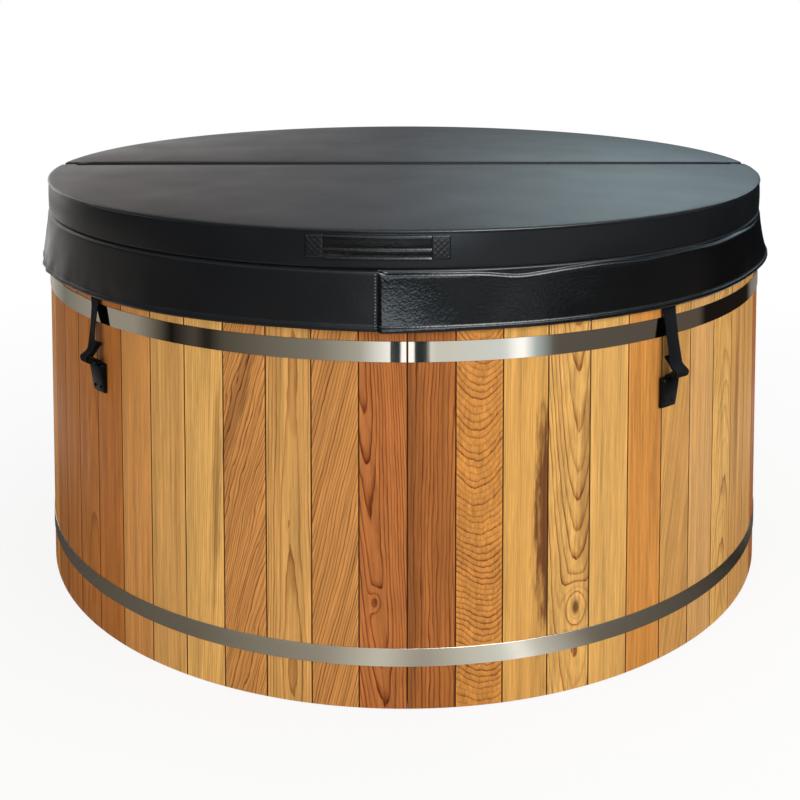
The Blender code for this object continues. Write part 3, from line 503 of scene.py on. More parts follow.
def write_board_values(mesh, boards):
    """Log place, tone, figure, knot and stain distances at each point of a group of staves."""
    values = {name: [] for name in BOARD_VALUES}
    for vertex in mesh.vertices:
        x, y, z = vertex.co
        index = math.floor(math.atan2(x, -y) % TURN / STAVE_PITCH)
        tone, across, behind, drift, inwards, spacing, wave, contrast, spot, mark = boards[index]
        angle = math.atan2(x, -y) % TURN - (index + 0.5) * STAVE_PITCH
        radius = math.hypot(x, y)
        u = angle * radius
        w = wall_radius(z) - radius
        values["log"] += (u - (across + drift * z) / 1000, w + (behind + inwards * z) / 1000, z + index)
        values["figure"] += (wave / 1000, 1000 / spacing, contrast)
        values["knot"] += (u - spot[0] / 1000, 0.5 * (z - spot[1] / 1000), spot[2] / 1000)
        lean = drift * (z - mark[1] / 1000)
        values["stain"] += ((1000 * u - mark[0] - lean) / mark[2], (1000 * z - mark[1]) / mark[3],
                            mark[4])
        # The tone's alpha holds the place across the stave, -1 to 1, which places the painted joint shade
        # and the painted edge highlight.
        values["tone"] += (*linear(CEDAR_TONES[tone])[:3], 2 * angle / STAVE_PITCH)
    for name, numbers in values.items():
        kind, field = ("FLOAT_COLOR", "color") if name == "tone" else ("FLOAT_VECTOR", "vector")
        mesh.attributes.new(name, kind, "POINT").data.foreach_set(field, numbers)


PORT_ANGLE = math.pi
PORT_LEVELS = {"upper": 0.620, "lower": 0.270}
PORT_HOLE = 0.0298
DRAIN_Z = 0.178
DRAIN_HOLE = 0.0193
PORT_HOLES = (*[(z, PORT_HOLE) for z in PORT_LEVELS.values()], (DRAIN_Z, DRAIN_HOLE))


def cut_away(obj, bm):
    """Take the shape of a bmesh out of an object."""
    bmesh.ops.recalc_face_normals(bm, faces=bm.faces)
    cutter = new_object("cutter", bm)
    step = obj.modifiers.new("cut", "BOOLEAN")
    step.object = cutter
    step.solver = "EXACT"
    cut = bpy.data.meshes.new_from_object(obj.evaluated_get(bpy.context.evaluated_depsgraph_get()))
    obj.modifiers.remove(step)
    obj.data = cut
    bpy.data.objects.remove(cutter)


def bore_stave(obj):
    """Round holes through the rear stave for the stove pipes and the drain."""
    for height, radius in PORT_HOLES:
        bm = bmesh.new()
        bmesh.ops.create_cone(bm, cap_ends=True, segments=48, radius1=radius, radius2=radius,
                              depth=4 * STAVE_THICKNESS)
        bmesh.ops.rotate(bm, verts=bm.verts, matrix=Matrix.Rotation(math.pi / 2, 3, "Y"))
        bmesh.ops.transform(bm, verts=bm.verts, matrix=wall_frame(PORT_ANGLE, height))
        cut_away(obj, bm)


stave_boards = {i: stave_board(i if i <= STAVE_COUNT // 2 else i - STAVE_COUNT)
                for i in range(STAVE_COUNT)}
panel_edges = [round(i * STAVE_COUNT / STAVE_PANELS) for i in range(STAVE_PANELS + 1)]
for number, (first, last) in enumerate(zip(panel_edges, panel_edges[1:]), 1):
    bm = bmesh.new()
    for index in range(first, last):
        add_stave(bm, index)
    bmesh.ops.recalc_face_normals(bm, faces=bm.faces)
    panel = new_object(f"staves_{number:02d}", bm, cedar_stave)
    if first <= STAVE_COUNT // 2 < last:
        bore_stave(panel)
    panel.data.set_sharp_from_angle(angle=math.radians(STAVE_SHARP))
    write_board_values(panel.data, stave_boards)
    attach(panel, "tub")
    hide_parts(f"stave_panel_{number:02d}")

# Floor, joists and bench: planed cedar inside the tub, left as its solids, which are
# real boards already. Floor boards run front to back, joists across, and each seat
# is three boards edge to edge.
FLOOR_BOARD_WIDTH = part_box("floor_board_4")[1][0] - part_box("floor_board_4")[0][0]
SEAT_SWEEP = math.radians(80)
SEAT_BOARD = 0.095
ALONG_Y = (math.pi / 2, 0, 0)
ALONG_X = (0, -math.pi / 2, 0)
UPRIGHT = (0, 0, 0)


def planed_cedar(name, turn, board_width, seats):
    """Plain cedar whose grain runs along the axis that the turn brings upright, board by board."""
    made, tree = new_material(name)
    place = add_node(tree, "TexCoord").outputs["Object"]
    if seats:
        axes = add_node(tree, "SeparateXYZ", {0: place})
        facing = add_node(tree, "Math", {0: axes.outputs["Y"], 1: -1.0}, operation="MULTIPLY")
        compass = add_node(tree, "Math", {0: axes.outputs["X"], 1: facing}, operation="ARCTAN2")
        count = add_node(tree, "Math", {0: compass, 1: SEAT_SWEEP}, operation="DIVIDE")
        whole = add_node(tree, "Math", {0: count}, operation="FLOOR")
        seat = add_node(tree, "Math", {0: whole, 1: 0.5}, operation="ADD")
        back = add_node(tree, "Math", {0: seat, 1: -SEAT_SWEEP}, operation="MULTIPLY")
        place = add_node(tree, "VectorRotate", {"Vector": place, "Angle": back}, rotation_type="Z_AXIS")
    grain = add_node(tree, "Mapping", {"Vector": place, "Rotation": turn})
    axes = add_node(tree, "SeparateXYZ", {0: grain})
    side = axes.outputs["Y"] if seats else axes.outputs["X"]
    across = add_node(tree, "Math", {0: side, 1: board_width}, operation="DIVIDE")
    number = add_node(tree, "Math", {0: across}, operation="FLOOR")
    draw = add_node(tree, "TexWhiteNoise", {"W": number}, noise_dimensions="1D")
    aside = add_node(tree, "Math", {0: draw, 1: 0.3}, operation="MULTIPLY")
    shift = add_node(tree, "CombineXYZ", {0: aside, 1: 0.09, 2: number})
    log = add_node(tree, "VectorMath", {0: grain, 1: shift}, operation="ADD")
    tone = add_node(tree, "Mix", {0: draw, 6: linear("#c79a63"), 7: linear("#b27b48")}, data_type="RGBA")
    wood_finish(tree, *wood_colour(tree, log, tone.outputs[2], 0.012, 1000 / 3.6, 0.45, 0.0, 0.0), 0.6)
    return made


inside_wood = {"floor_board": planed_cedar("floor_cedar", ALONG_Y, FLOOR_BOARD_WIDTH, False),
               "floor_joist": planed_cedar("joist_cedar", ALONG_X, 1.0, False),
               "bench_seat": planed_cedar("seat_cedar", ALONG_X, SEAT_BOARD, True),
               "bench_support": planed_cedar("support_cedar", UPRIGHT, 0.12, False)}
for node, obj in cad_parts.items():
    kind = node.rsplit("_", 1)[0]
    if kind in inside_wood:
        obj.material_slots[0].material = inside_wood[kind]

# Hoops: two flat bands of stainless strip, 40 by 1.5 mm, drawn tight round the
# leaning wall. The upper one is polished and its ends meet at the front, where they
# lie straight for a few centimetres and the tips are pressed flat. The lower one is brushed.
HOOP_WIDTH = 0.040
HOOP_THICKNESS = 0.0015
HOOP_SEAT = 0.0003
UPPER_HOOP_Z = 0.754
LOWER_HOOP_Z = 0.1195
HOOP_EASE = 0.0002
HOOP_END_GAP = 0.004
LOWER_END_GAP = 0.0012
LOWER_SPLIT = math.pi + STAVE_PITCH / 2
STRAIGHT_ENDS = {-1: 0.0300, 1: 0.0405}
TIP_LENGTH = 0.0095
TIP_TURN = math.radians(0.5)
LOOP_STEP = 0.0005


def hoop_mesh(centre, split, gap):
    """Thin band parallel to the leaning wall, open by a gap at one angle."""
    low, high = centre - HOOP_WIDTH / 2, centre + HOOP_WIDTH / 2
    section = [(wall_radius(z) + HOOP_SEAT + out, z) for z, out in (
        (low, 0), (low, HOOP_THICKNESS), (high, HOOP_THICKNESS), (high, 0))]
    half = gap / 2 / wall_radius(centre)
    bm = bmesh.new()
    sweep(bm, [polar(split + half, r, z) for r, z in section], TURN - 2 * half, 360)
    bmesh.ops.recalc_face_normals(bm, faces=bm.faces)
    rims = [e for e in bm.edges if e.is_manifold and e.calc_face_angle(0) > 1
            and abs(e.verts[0].co.z - e.verts[1].co.z) < LOOP_STEP]
    round_edges(bm, rims, HOOP_EASE, 1)
    return bm


def cut_loop(bm, angle, inside):
    """Cut a mesh along the upright plane at an angle, where a test of a point holds."""
    near = [g for g in (*bm.verts, *bm.edges, *bm.faces)
            if inside(g.co if isinstance(g, bmesh.types.BMVert) else g.verts[0].co)]
    bmesh.ops.bisect_plane(bm, geom=near, plane_co=(0, 0, 0),
                           plane_no=polar(angle + math.pi / 2, 1, 0))


def shape_hoop_ends(bm, centre):
    """Cut loops near the front joint, then lay the ends straight and flatten the tips."""
    radius = wall_radius(centre)
    for side, straight in STRAIGHT_ENDS.items():
        for along in (straight, straight - LOOP_STEP, TIP_LENGTH + LOOP_STEP, TIP_LENGTH - LOOP_STEP):
            cut_loop(bm, side * along / radius, lambda place: place.y < -0.7 * radius)
    for vertex in bm.verts:
        along = math.atan2(vertex.co.x, -vertex.co.y) * radius
        straight = STRAIGHT_ENDS[1 if along > 0 else -1]
        away = abs(along)
        out = max(0.0, straight - max(away, TIP_LENGTH)) ** 2 / 2 / radius
        if away < TIP_LENGTH:
            out += (TIP_LENGTH - away) * TIP_TURN - (TIP_LENGTH ** 2 - away ** 2) / 2 / radius
        vertex.co.xy *= 1 + out / radius


# Stainless steel strip: grey mirror with a warm cast. The polish keeps the room's
# shapes; the brushed one has fine lines along the band, 1 mm apart so they show.
def steel(name, code, roughness, brushing):
    """Stainless strip with lines along the band."""
    made, tree = new_material(name)
    place = add_node(tree, "TexCoord").outputs["Object"]
    drawn = add_node(tree, "Mapping", {"Vector": place, "Scale": (4, 4, 900)})
    lines = add_node(tree, "TexNoise", {"Vector": drawn, "Scale": 1.0, "Detail": 2.0})
    wear_and_edge_highlight = add_node(tree, "TexNoise", {"Vector": place, "Scale": 14.0, "Detail": 4.0})
    rough = add_node(tree, "Math", {0: lines, 1: brushing, 2: roughness - brushing / 2},
                     operation="MULTIPLY_ADD")
    rough = add_node(tree, "Math", {0: wear_and_edge_highlight, 1: roughness / 2, 2: rough}, operation="MULTIPLY_ADD")
    bump = add_node(tree, "Bump", {"Strength": brushing, "Distance": 0.0002, "Height": lines})
    shader = add_node(tree, "BsdfPrincipled", {
        "Base Color": linear(code), "Metallic": 1.0, "Roughness": rough, "Normal": bump})
    add_node(tree, "OutputMaterial", {"Surface": shader})
    return made


polished = steel("polished_stainless", "#cfccc4", 0.04, 0.01)
brushed = steel("brushed_stainless", "#cfcbc0", 0.18, 0.10)
for name, centre, split, gap, finish in (
        ("upper_hoop", UPPER_HOOP_Z, 0.0, HOOP_END_GAP, polished),
        ("lower_hoop", LOWER_HOOP_Z, LOWER_SPLIT, LOWER_END_GAP, brushed)):
    bm = hoop_mesh(centre, split, gap)
    if name == "upper_hoop":
        shape_hoop_ends(bm, centre)
    band = new_object(f"{name}_band", bm, finish, sharp=30)
    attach(band, "tub")
    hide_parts(name)

# Cover: two half discs of foam board in marine vinyl, 73 mm thick at the rim and
# slightly crowned. A welt runs round the top edge, the lower edge is rounded under,
# and the hinge edges have soft shoulders.
PANEL_BOTTOM = 0.9083
PANEL_TOP = 0.9808
SEAM_RADIUS = 0.8862
RIM_RADIUS = 0.8800
PANEL_CORNER = 0.030
RIM_ROUND = 0.003
FOOT_ROUND = 0.006
HINGE_GAP = 0.004
HINGE_SHOULDER = 0.015
SOFTNESS = 0.0012
SWELL_START = 0.04
WELT_RADIUS = 0.0027
WELT_INSET = 0.0002
WELT_DROP = 0.0032
WELT_SWEEP = math.radians(176)
WELT_STEPS = 160


# Marine vinyl: soft PVC skin on cloth, pressed with a pebbled leather grain about
# 2 mm across, black, with a low sheen that brightens at a glancing angle. The glossy
# length has its pebbles drawn 4.6 mm across, so that they glint.
def vinyl(name, codes, roughness, gloss, depth, pebble):
    """Black leather-grained vinyl: roughness, gloss, depth of its grain, size of its pebbles in mm."""
    made, tree = new_material(name)
    place = add_node(tree, "TexCoord").outputs["Object"]
    pebbles = add_node(tree, "TexVoronoi", {"Vector": place, "Scale": 1000 / pebble}, feature="SMOOTH_F1")
    creases = add_node(tree, "TexNoise", {"Vector": place, "Scale": 1000 / 9, "Detail": 3.0})
    cloudy = add_node(tree, "TexNoise", {"Vector": place, "Scale": 1000 / 160, "Detail": 3.0})
    grain = add_node(tree, "Math", {0: creases, 1: 0.6, 2: pebbles}, operation="MULTIPLY_ADD")
    bump = add_node(tree, "Bump", {"Strength": depth, "Distance": 0.0007, "Height": grain})
    tint = add_node(tree, "Mix", {0: cloudy, 6: linear(codes[0]), 7: linear(codes[1])}, data_type="RGBA")
    rough = add_node(tree, "Math", {0: cloudy, 1: 0.14, 2: roughness - 0.07}, operation="MULTIPLY_ADD")
    shader = add_node(tree, "BsdfPrincipled", {
        "Base Color": tint.outputs[2], "Roughness": rough, "IOR": 1.5, "Specular IOR Level": gloss,
        "Normal": bump})
    add_node(tree, "OutputMaterial", {"Surface": shader})
    return made


black_vinyl = vinyl("black_marine_vinyl", ("#0b0c0e", "#101114"), 0.36, 0.35, 0.30, 2.2)
sleek_vinyl = vinyl("glossy_marine_vinyl", ("#050607", "#090a0c"), 0.24, 0.38, 0.50, 4.6)

CROWN = 0.0040
CROWN_EASE = 0.22
CROWN_CUT = 0.040
TOP_INSET = 0.010
NEAR_LEVEL = 0.001
AT_TOP = PANEL_TOP - 0.0001


def cover_half(name, side):
    """Foam half in its vinyl, front half for side 1 and rear half for side -1."""
    bm = bmesh.new()
    bmesh.ops.create_circle(bm, cap_ends=False, radius=SEAM_RADIUS, segments=360)
    bmesh.ops.bisect_plane(bm, geom=bm.verts[:] + bm.edges[:], plane_co=(0, -HINGE_GAP / 2, 0),
                           plane_no=(0, 1, 0), clear_outer=True)
    corners = [v for v in bm.verts if len(v.link_edges) == 1]
    bmesh.ops.contextual_create(bm, geom=corners)
    bmesh.ops.bevel(bm, geom=corners, offset=PANEL_CORNER, offset_type="OFFSET", affect="VERTICES",
                    segments=6, profile=0.5, material=-1)
    longest = max(bm.edges, key=lambda e: e.calc_length())
    bmesh.ops.subdivide_edges(bm, edges=[longest], cuts=90)
    floor_face = bmesh.ops.contextual_create(bm, geom=bm.edges[:])["faces"]
    raised = bmesh.ops.extrude_face_region(bm, geom=floor_face)["geom"]
    top_verts = [g for g in raised if isinstance(g, bmesh.types.BMVert)]
    bmesh.ops.translate(bm, verts=top_verts, vec=(0, 0, PANEL_TOP - PANEL_BOTTOM))
    taper = RIM_RADIUS / SEAM_RADIUS
    bmesh.ops.scale(bm, verts=top_verts, vec=(taper, taper, 1))
    bmesh.ops.translate(bm, verts=bm.verts, vec=(0, 0, PANEL_BOTTOM))
    uprights = [e for e in bm.edges if abs(e.verts[0].co.z - e.verts[1].co.z) > 0.01]
    bmesh.ops.subdivide_edges(bm, edges=uprights, cuts=9)
    for level, rounding, steps in ((PANEL_TOP, RIM_ROUND, 5), (PANEL_BOTTOM, FOOT_ROUND, 4)):
        cap = [f for f in bm.faces
               if len(f.verts) > 20 and abs(f.calc_center_median().z - level) < NEAR_LEVEL]
        round_edges(bm, [e for f in cap for e in f.edges], rounding, steps)
    top_face = [f for f in bm.faces
                if len(f.verts) > 20 and f.calc_center_median().z > PANEL_TOP - NEAR_LEVEL]
    bmesh.ops.inset_region(bm, faces=top_face, thickness=TOP_INSET)
    cuts = math.ceil(RIM_RADIUS / CROWN_CUT)
    for axis, places in (((1, 0, 0), range(1 - cuts, cuts)), ((0, 1, 0), range(1 - cuts, 0))):
        for place in places:
            top = [f for f in bm.faces if min(v.co.z for v in f.verts) > AT_TOP]
            bmesh.ops.bisect_plane(bm, geom=list({g for f in top for g in (f, *f.edges, *f.verts)}),
                                   plane_co=CROWN_CUT * place * Vector(axis), plane_no=axis)
    for vertex in bm.verts:
        x, y, z = vertex.co
        from_hinge = -y - HINGE_GAP / 2
        if from_hinge < HINGE_SHOULDER:
            rest = HINGE_SHOULDER - from_hinge
            limit = HINGE_SHOULDER - math.sqrt(max(0, HINGE_SHOULDER ** 2 - rest ** 2))
            vertex.co.z = min(z, PANEL_TOP - limit)
        soft = noise.noise(Vector((5 * x, 5 * y * side, 3 + side)))
        if z > AT_TOP:
            from_rim = 1 - math.hypot(x, y) / RIM_RADIUS
            inner = ramp(from_rim, 0.0, CROWN_EASE)
            inner *= ramp(from_hinge - HINGE_SHOULDER, 0.0, CROWN_EASE * RIM_RADIUS)
            vertex.co.z += inner * (2 - inner) * (CROWN + SOFTNESS * soft)
        elif from_hinge > SWELL_START:
            swell = math.sin(math.pi * (z - PANEL_BOTTOM) / (PANEL_TOP - PANEL_BOTTOM))
            vertex.co.xy *= 1 + SOFTNESS * swell * (1 + 0.8 * soft) / RIM_RADIUS
    if side < 0:
        bmesh.ops.rotate(bm, verts=bm.verts, matrix=Matrix.Rotation(math.pi, 3, "Z"))
    bmesh.ops.recalc_face_normals(bm, faces=bm.faces)
    return new_object(name, bm, black_vinyl)


def rim_welt(name, turn):
    """Cord covered in vinyl, sewn into the top edge of the half whose middle is at an angle."""
    bm = bmesh.new()
    ring = bmesh.ops.create_circle(bm, cap_ends=False, radius=WELT_RADIUS, segments=10)["verts"]
    bmesh.ops.rotate(bm, verts=ring, matrix=Matrix.Rotation(math.pi / 2, 3, "Y"))
    bmesh.ops.translate(bm, verts=ring, vec=(0, WELT_INSET - RIM_RADIUS, PANEL_TOP - WELT_DROP))
    bmesh.ops.rotate(bm, verts=ring, cent=(0, 0, 0),
                     matrix=Matrix.Rotation(turn - WELT_SWEEP / 2, 3, "Z"))
    start = bm.edges[:]
    spun = bmesh.ops.spin(bm, geom=ring + start, cent=(0, 0, 0), axis=(0, 0, 1), angle=WELT_SWEEP,
                          steps=WELT_STEPS)
    last = [g for g in spun["geom_last"] if isinstance(g, bmesh.types.BMEdge)]
    bmesh.ops.holes_fill(bm, edges=start + last, sides=0)
    bmesh.ops.recalc_face_normals(bm, faces=bm.faces)
    return new_object(name, bm, sleek_vinyl)


for half, side, body in (("rear", -1, "cover_rear"), ("front", 1, "cover_front")):
    panel = cover_half(f"{half}_cover", side)
    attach(panel, body)
    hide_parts(f"{half}_cover_panel")
    welt = rim_welt(f"{half}_rim_welt", 0.0 if side > 0 else math.pi)
    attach(welt, body)

# Hinge web: one strip of the same vinyl sewn over the gap between the halves, so
# that the front half folds back on the rear one.
WEB_THICKNESS = 0.0015
WEB_REACH = 0.842
WEB_STEPS = 48
WEB_HALF = ((0.0015, -0.0066), (0.0045, -0.0052), (0.0080, -0.0025), (0.0120, -0.0004), (0.0165, 0.0006))
WEB_LINE = (*[(-y, z) for y, z in reversed(WEB_HALF)], *WEB_HALF)
bm = bmesh.new()
line = [bm.verts.new((-WEB_REACH, y, PANEL_TOP + WEB_THICKNESS + z)) for y, z in WEB_LINE]
edges = [bm.edges.new(pair) for pair in zip(line, line[1:])]
for step in range(WEB_STEPS):
    grown = bmesh.ops.extrude_edge_only(bm, edges=edges)["geom"]
    moved = [g for g in grown if isinstance(g, bmesh.types.BMVert)]
    edges = [g for g in grown if isinstance(g, bmesh.types.BMEdge) and all(v in moved for v in g.verts)]
    bmesh.ops.translate(bm, verts=moved, vec=(2 * WEB_REACH / WEB_STEPS, 0, 0))
bmesh.ops.recalc_face_normals(bm, faces=bm.faces)
bmesh.ops.solidify(bm, geom=bm.faces[:], thickness=WEB_THICKNESS)
bmesh.ops.recalc_face_normals(bm, faces=bm.faces)
web = new_object("hinge_web", bm, black_vinyl)
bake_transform(web)
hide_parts("cover_hinge_strip")

# Skirts: single vinyl flaps sewn under the lower edge of each half, standing off the
# wall over the straps. The hem is rolled in and stitched, the ends are open at the
# hinge, and a lap seam joins a matt and a glossy length of the front flap.
SKIRT_LAP = 0.008
SKIRT_DROP = 0.1205
SKIRT_HEM_OUT = 0.0105
SKIRT_SHOULDER = 0.0075
SHOULDER_FALL = 0.016
LEFT_DROOP = 0.013
LEFT_FLARE = 0.0095
RIGHT_FLARE = 0.014
SKIRT_FLARE = 1.3
RIPPLES = ((0.0016, 9, 1.2, 4), (0.0009, 26, 2.5, 9))
FOLD_DEPTH = 0.0110
FOLD_PITCH = 17
LAP_LIFT = 0.015
LAP_GROOVE = 0.0012
LAP_EDGE = 0.0010
LAP_ANGLE = math.radians(-3.53)
LAP_LOOPS = (-0.45, -0.22, -0.10, 0.0, 0.10, 0.25, 0.5)
SLEEK_DROP = 0.003
SKIRT_SLIT = 0.020
SKIRT_THICKNESS = 0.0012
SKIRT_STEPS = 360
SKIRT_FALLS = (*[0.008 + 0.0085 * i for i in range(21)], 0.21, *[0.25 + 0.0625 * i for i in range(12)])
SKIRT_START = PANEL_BOTTOM - 0.0006
SKIRT_FOOT = PANEL_BOTTOM + SKIRT_LAP - SKIRT_DROP
SKIRT_HANG = SKIRT_START - SKIRT_FOOT
SKIRT_HEM_RADIUS = wall_radius(SKIRT_FOOT) + SKIRT_HEM_OUT
SKIRT_REACH = math.pi / 2 - SKIRT_SLIT / 2 / SKIRT_HEM_RADIUS
SKIRT_TUCK = ((-0.0045, 0.0030), (-0.0024, 0.0008), (-0.0006, 0.0), (0.0006, -0.0002), (0.0016, -0.0006))
HEM_ROLL = ((0.0000, 0.0085), (0.0006, 0.0066), (0.0012, 0.0032), (0.0006, 0.0002), (-0.0011, 0.0),
            (-0.0023, 0.0030), (-0.0024, 0.0100))


def shoulder(fall):
    """How far the roll below the seam stands out, a share of the way down to the hem."""
    return SKIRT_SHOULDER * (1 - math.exp(-max(0.0, fall) / SHOULDER_FALL))


def skirt_radius(fall):
    """Radius of the hanging skirt, a share of the way from the seam to the hem."""
    start = SEAM_RADIUS + SKIRT_TUCK[-1][0]
    return start + shoulder(fall) + (SKIRT_HEM_RADIUS - SKIRT_SHOULDER - start) * fall ** SKIRT_FLARE


def skirt_sway(angle, fall, side):
    """Sway of the loose vinyl: ripples, left folds, flared ends, the front's sagging roll and its lap."""
    turn = math.degrees(angle)
    past = turn - math.degrees(LAP_ANGLE)
    ripple = sum(size * noise.noise(Vector((around * angle, down * fall, seed + side)))
                 for size, around, down, seed in RIPPLES)
    crease = noise.noise(Vector((FOLD_PITCH * angle + 3 * fall, 0.8 * fall, 2 + side)))
    folds = FOLD_DEPTH * ramp(-turn, 52, 68) * (1 - 0.5 * fall) * crease
    flat = max(ramp(abs(turn), 52, 76), 0.35 * ramp(-past, 0, 10)) * (1 - fall)
    flare = LEFT_FLARE * ramp(-turn, 54, 72) * fall ** 1.2
    flare += RIGHT_FLARE * ramp(turn, 58, 74) ** 1.2 * fall ** 1.6
    sag = 0.0
    if side > 0:
        dip = 0.075 * math.exp(-((turn - 13.5) / 4) ** 2)
        slack = 0.045 + dip + 0.02 * noise.noise(Vector((8 * angle, 0, 6)))
        sag = ramp(past, 0, 1) * slack
    sway = fall * (ripple + folds) + flare + (1 - flat) * shoulder(fall - sag) - shoulder(fall)
    if side > 0:
        lift = ramp(past, 0, 0.3) * (1 - ramp(past, 1, 15)) ** 1.5
        lift += 0.35 * ramp(past, -14, 0) * ramp(past, 0.3, 0)
        sway += LAP_LIFT * lift * fall ** 1.5
    return sway


def droop(angle, fall):
    """How much lower the loose left end hangs."""
    return LEFT_DROOP * ramp(-math.degrees(angle), 12, 70) * fall


def lap_step(angle, side):
    """Step of the lap seam on the front flap: a groove, then the upper layer's rounded edge."""
    if side < 0:
        return 0.0
    past = math.degrees(angle - LAP_ANGLE)
    groove = -LAP_GROOVE * max(0.0, 1 - abs(past) / 0.12)
    return groove + LAP_EDGE * ramp(past, 0.0, 0.15) * (1 - ramp(past, 0.3, 6))


def skirt_point(angle, fall, out, side):
    """Point on the flap's outer face, moved out by a length."""
    radius = skirt_radius(fall) + skirt_sway(angle, fall, side) + lap_step(angle, side) + out
    point = polar(angle, radius, SKIRT_START - SKIRT_HANG * fall - droop(angle, fall))
    return Vector((point.x, point.y * side, point.z))


def skirt(name, side):
    """Hanging flap as one sheet: its profile spun round, rippled and given its thickness."""
    rows = [(SEAM_RADIUS + out, PANEL_BOTTOM + up) for out, up in SKIRT_TUCK]
    rows += [(skirt_radius(f), SKIRT_START - SKIRT_HANG * f) for f in SKIRT_FALLS]
    rows += [(SKIRT_HEM_RADIUS + out, SKIRT_FOOT + up) for out, up in HEM_ROLL]
    bm = bmesh.new()
    line = [bm.verts.new(polar(-SKIRT_REACH, r, z)) for r, z in rows]
    edges = [bm.edges.new(pair) for pair in zip(line, line[1:])]
    bmesh.ops.spin(bm, geom=line + edges, cent=(0, 0, 0), axis=(0, 0, 1), angle=2 * SKIRT_REACH,
                   steps=SKIRT_STEPS)
    if side > 0:
        for loop in LAP_LOOPS:
            cut_loop(bm, LAP_ANGLE + math.radians(loop), lambda place: abs(place.x) < 0.2)
    for vertex in bm.verts:
        angle = math.atan2(vertex.co.x, -vertex.co.y)
        fall = ramp(vertex.co.z, PANEL_BOTTOM, SKIRT_FOOT)
        vertex.co.z -= droop(angle, fall)
        out = skirt_sway(angle, fall, side) + lap_step(angle, side) * ramp(fall, 0.02, 0.08)
        vertex.co.xy *= 1 + out / SKIRT_HEM_RADIUS
    for face in bm.faces:
        middle = face.calc_center_median()
        past = math.atan2(middle.x, -middle.y) > LAP_ANGLE and middle.z < PANEL_BOTTOM - SLEEK_DROP
        face.material_index = 1 if side > 0 and past else 0
    if side < 0:
        bmesh.ops.scale(bm, verts=bm.verts, vec=(1, -1, 1))
    bmesh.ops.recalc_face_normals(bm, faces=bm.faces)
    centres = {face: face.calc_center_median() for face in bm.faces}
    half_way = SKIRT_FOOT + SKIRT_HANG / 2
    middle = min(centres, key=lambda face: abs(centres[face].x) + abs(centres[face].z - half_way))
    if middle.normal.y * side > 0:
        bmesh.ops.reverse_faces(bm, faces=bm.faces)
    flap = new_object(name, bm, black_vinyl, sleek_vinyl)
    wall = flap.modifiers.new("thickness", "SOLIDIFY")
    wall.thickness = SKIRT_THICKNESS
    wall.offset = -1.0
    cut = sum(math.dist(a, b) for a, b in zip(rows, rows[1:]))
    return flap, cut


# Thread: bonded polyester, black, and grey on the lap seam; each stitch is a bead
# 4 mm long in a row 6 mm apart, lying in the vinyl.
STITCH_LENGTH = 0.0040
STITCH_PITCH = 0.0060
STITCH_WIDTH = 0.0011
STITCH_SINK = 0.0001
HEM_STITCH_FALL = 0.885
LAP_STITCH_ASIDE = math.radians(0.28)


def thread(name, code):
    """Twisted thread, slightly shiny, with its twist 0.6 mm apart."""
    made, tree = new_material(name)
    place = add_node(tree, "TexCoord").outputs["Object"]
    twist = add_node(tree, "TexNoise", {"Vector": place, "Scale": 1000 / 0.6, "Detail": 1.0})
    bump = add_node(tree, "Bump", {"Strength": 0.4, "Distance": 0.0002, "Height": twist})
    shader = add_node(tree, "BsdfPrincipled", {
        "Base Color": linear(code), "Roughness": 0.45, "Normal": bump})
    add_node(tree, "OutputMaterial", {"Surface": shader})
    return made


black_thread = thread("black_thread", "#17181a")
grey_thread = thread("grey_thread", "#a9adb0")


def add_stitches(bm, points):
    """Row of beads along a line of points, spaced by the stitch pitch."""
    wait = 0.0
    for start, end in zip(points, points[1:]):
        length = (end - start).length
        while wait < length:
            place = start.lerp(end, wait / length)
            turn = (end - start).to_track_quat("X", "Z").to_matrix().to_4x4()
            bead = Matrix.Diagonal((STITCH_LENGTH / 2, STITCH_WIDTH / 2, STITCH_WIDTH / 2, 1))
            bmesh.ops.create_icosphere(bm, subdivisions=1, radius=1.0,
                                       matrix=Matrix.Translation(place) @ turn @ bead)
            wait += STITCH_PITCH
        wait -= length


for half, side, body in (("rear", -1, "cover_rear"), ("front", 1, "cover_front")):
    flap, cut = skirt(f"{half}_flap", side)
    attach(flap, body)
    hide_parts(f"{half}_skirt")
    bm = bmesh.new()
    angles = [-SKIRT_REACH + 2 * SKIRT_REACH * i / 600 for i in range(3, 598)]
    add_stitches(bm, [skirt_point(a, HEM_STITCH_FALL, -STITCH_SINK, side) for a in angles])
    row = new_object(f"{half}_hem_stitches", bm, black_thread)
    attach(row, body)
bm = bmesh.new()
falls = [0.06 + 0.86 * i / 40 for i in range(41)]
add_stitches(bm, [skirt_point(LAP_ANGLE - LAP_STITCH_ASIDE, fall, 0.0, 1) for fall in falls])
row = new_object("lap_seam_stitches", bm, grey_thread)
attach(row, "cover_front")

# Handle: doubled vinyl strap folded once along its length, its lower edge piped, sewn
# flat on the front side band by a quilted patch at each end.
HANDLE_ANGLE = math.radians(-3.6)
HANDLE_LENGTH = 0.270
HANDLE_TAB = 0.035
HANDLE_TOP = PANEL_TOP - 0.008
HANDLE_HEIGHT = 0.046
HANDLE_BACK = -0.0002
HANDLE_EASE = 0.0006
HANDLE_STEPS = 72
HANDLE_FACE = ((0.0, 0.0014), (0.02, 0.0034), (0.06, 0.0050), (0.12, 0.0050), (0.44, 0.0030),
               (0.50, 0.0022), (0.53, 0.0020), (0.56, 0.0034), (0.60, 0.0048), (0.66, 0.0047),
               (0.84, 0.0030), (0.88, 0.0022), (0.91, 0.0040), (0.95, 0.0050), (0.99, 0.0040),
               (1.0, 0.0022))
PATCH_THICKNESS = 0.0026
PATCH_SHEET = 0.0015
PATCH_MARGIN = 0.003
PATCH_QUILT = 0.0009
QUILT_TURN = 3 * math.pi


def panel_side(z):
    """Radius of the cover's side at height z."""
    rise = (z - PANEL_BOTTOM) / (PANEL_TOP - PANEL_BOTTOM)
    return SEAM_RADIUS + (RIM_RADIUS - SEAM_RADIUS) * rise + SOFTNESS * math.sin(math.pi * rise)


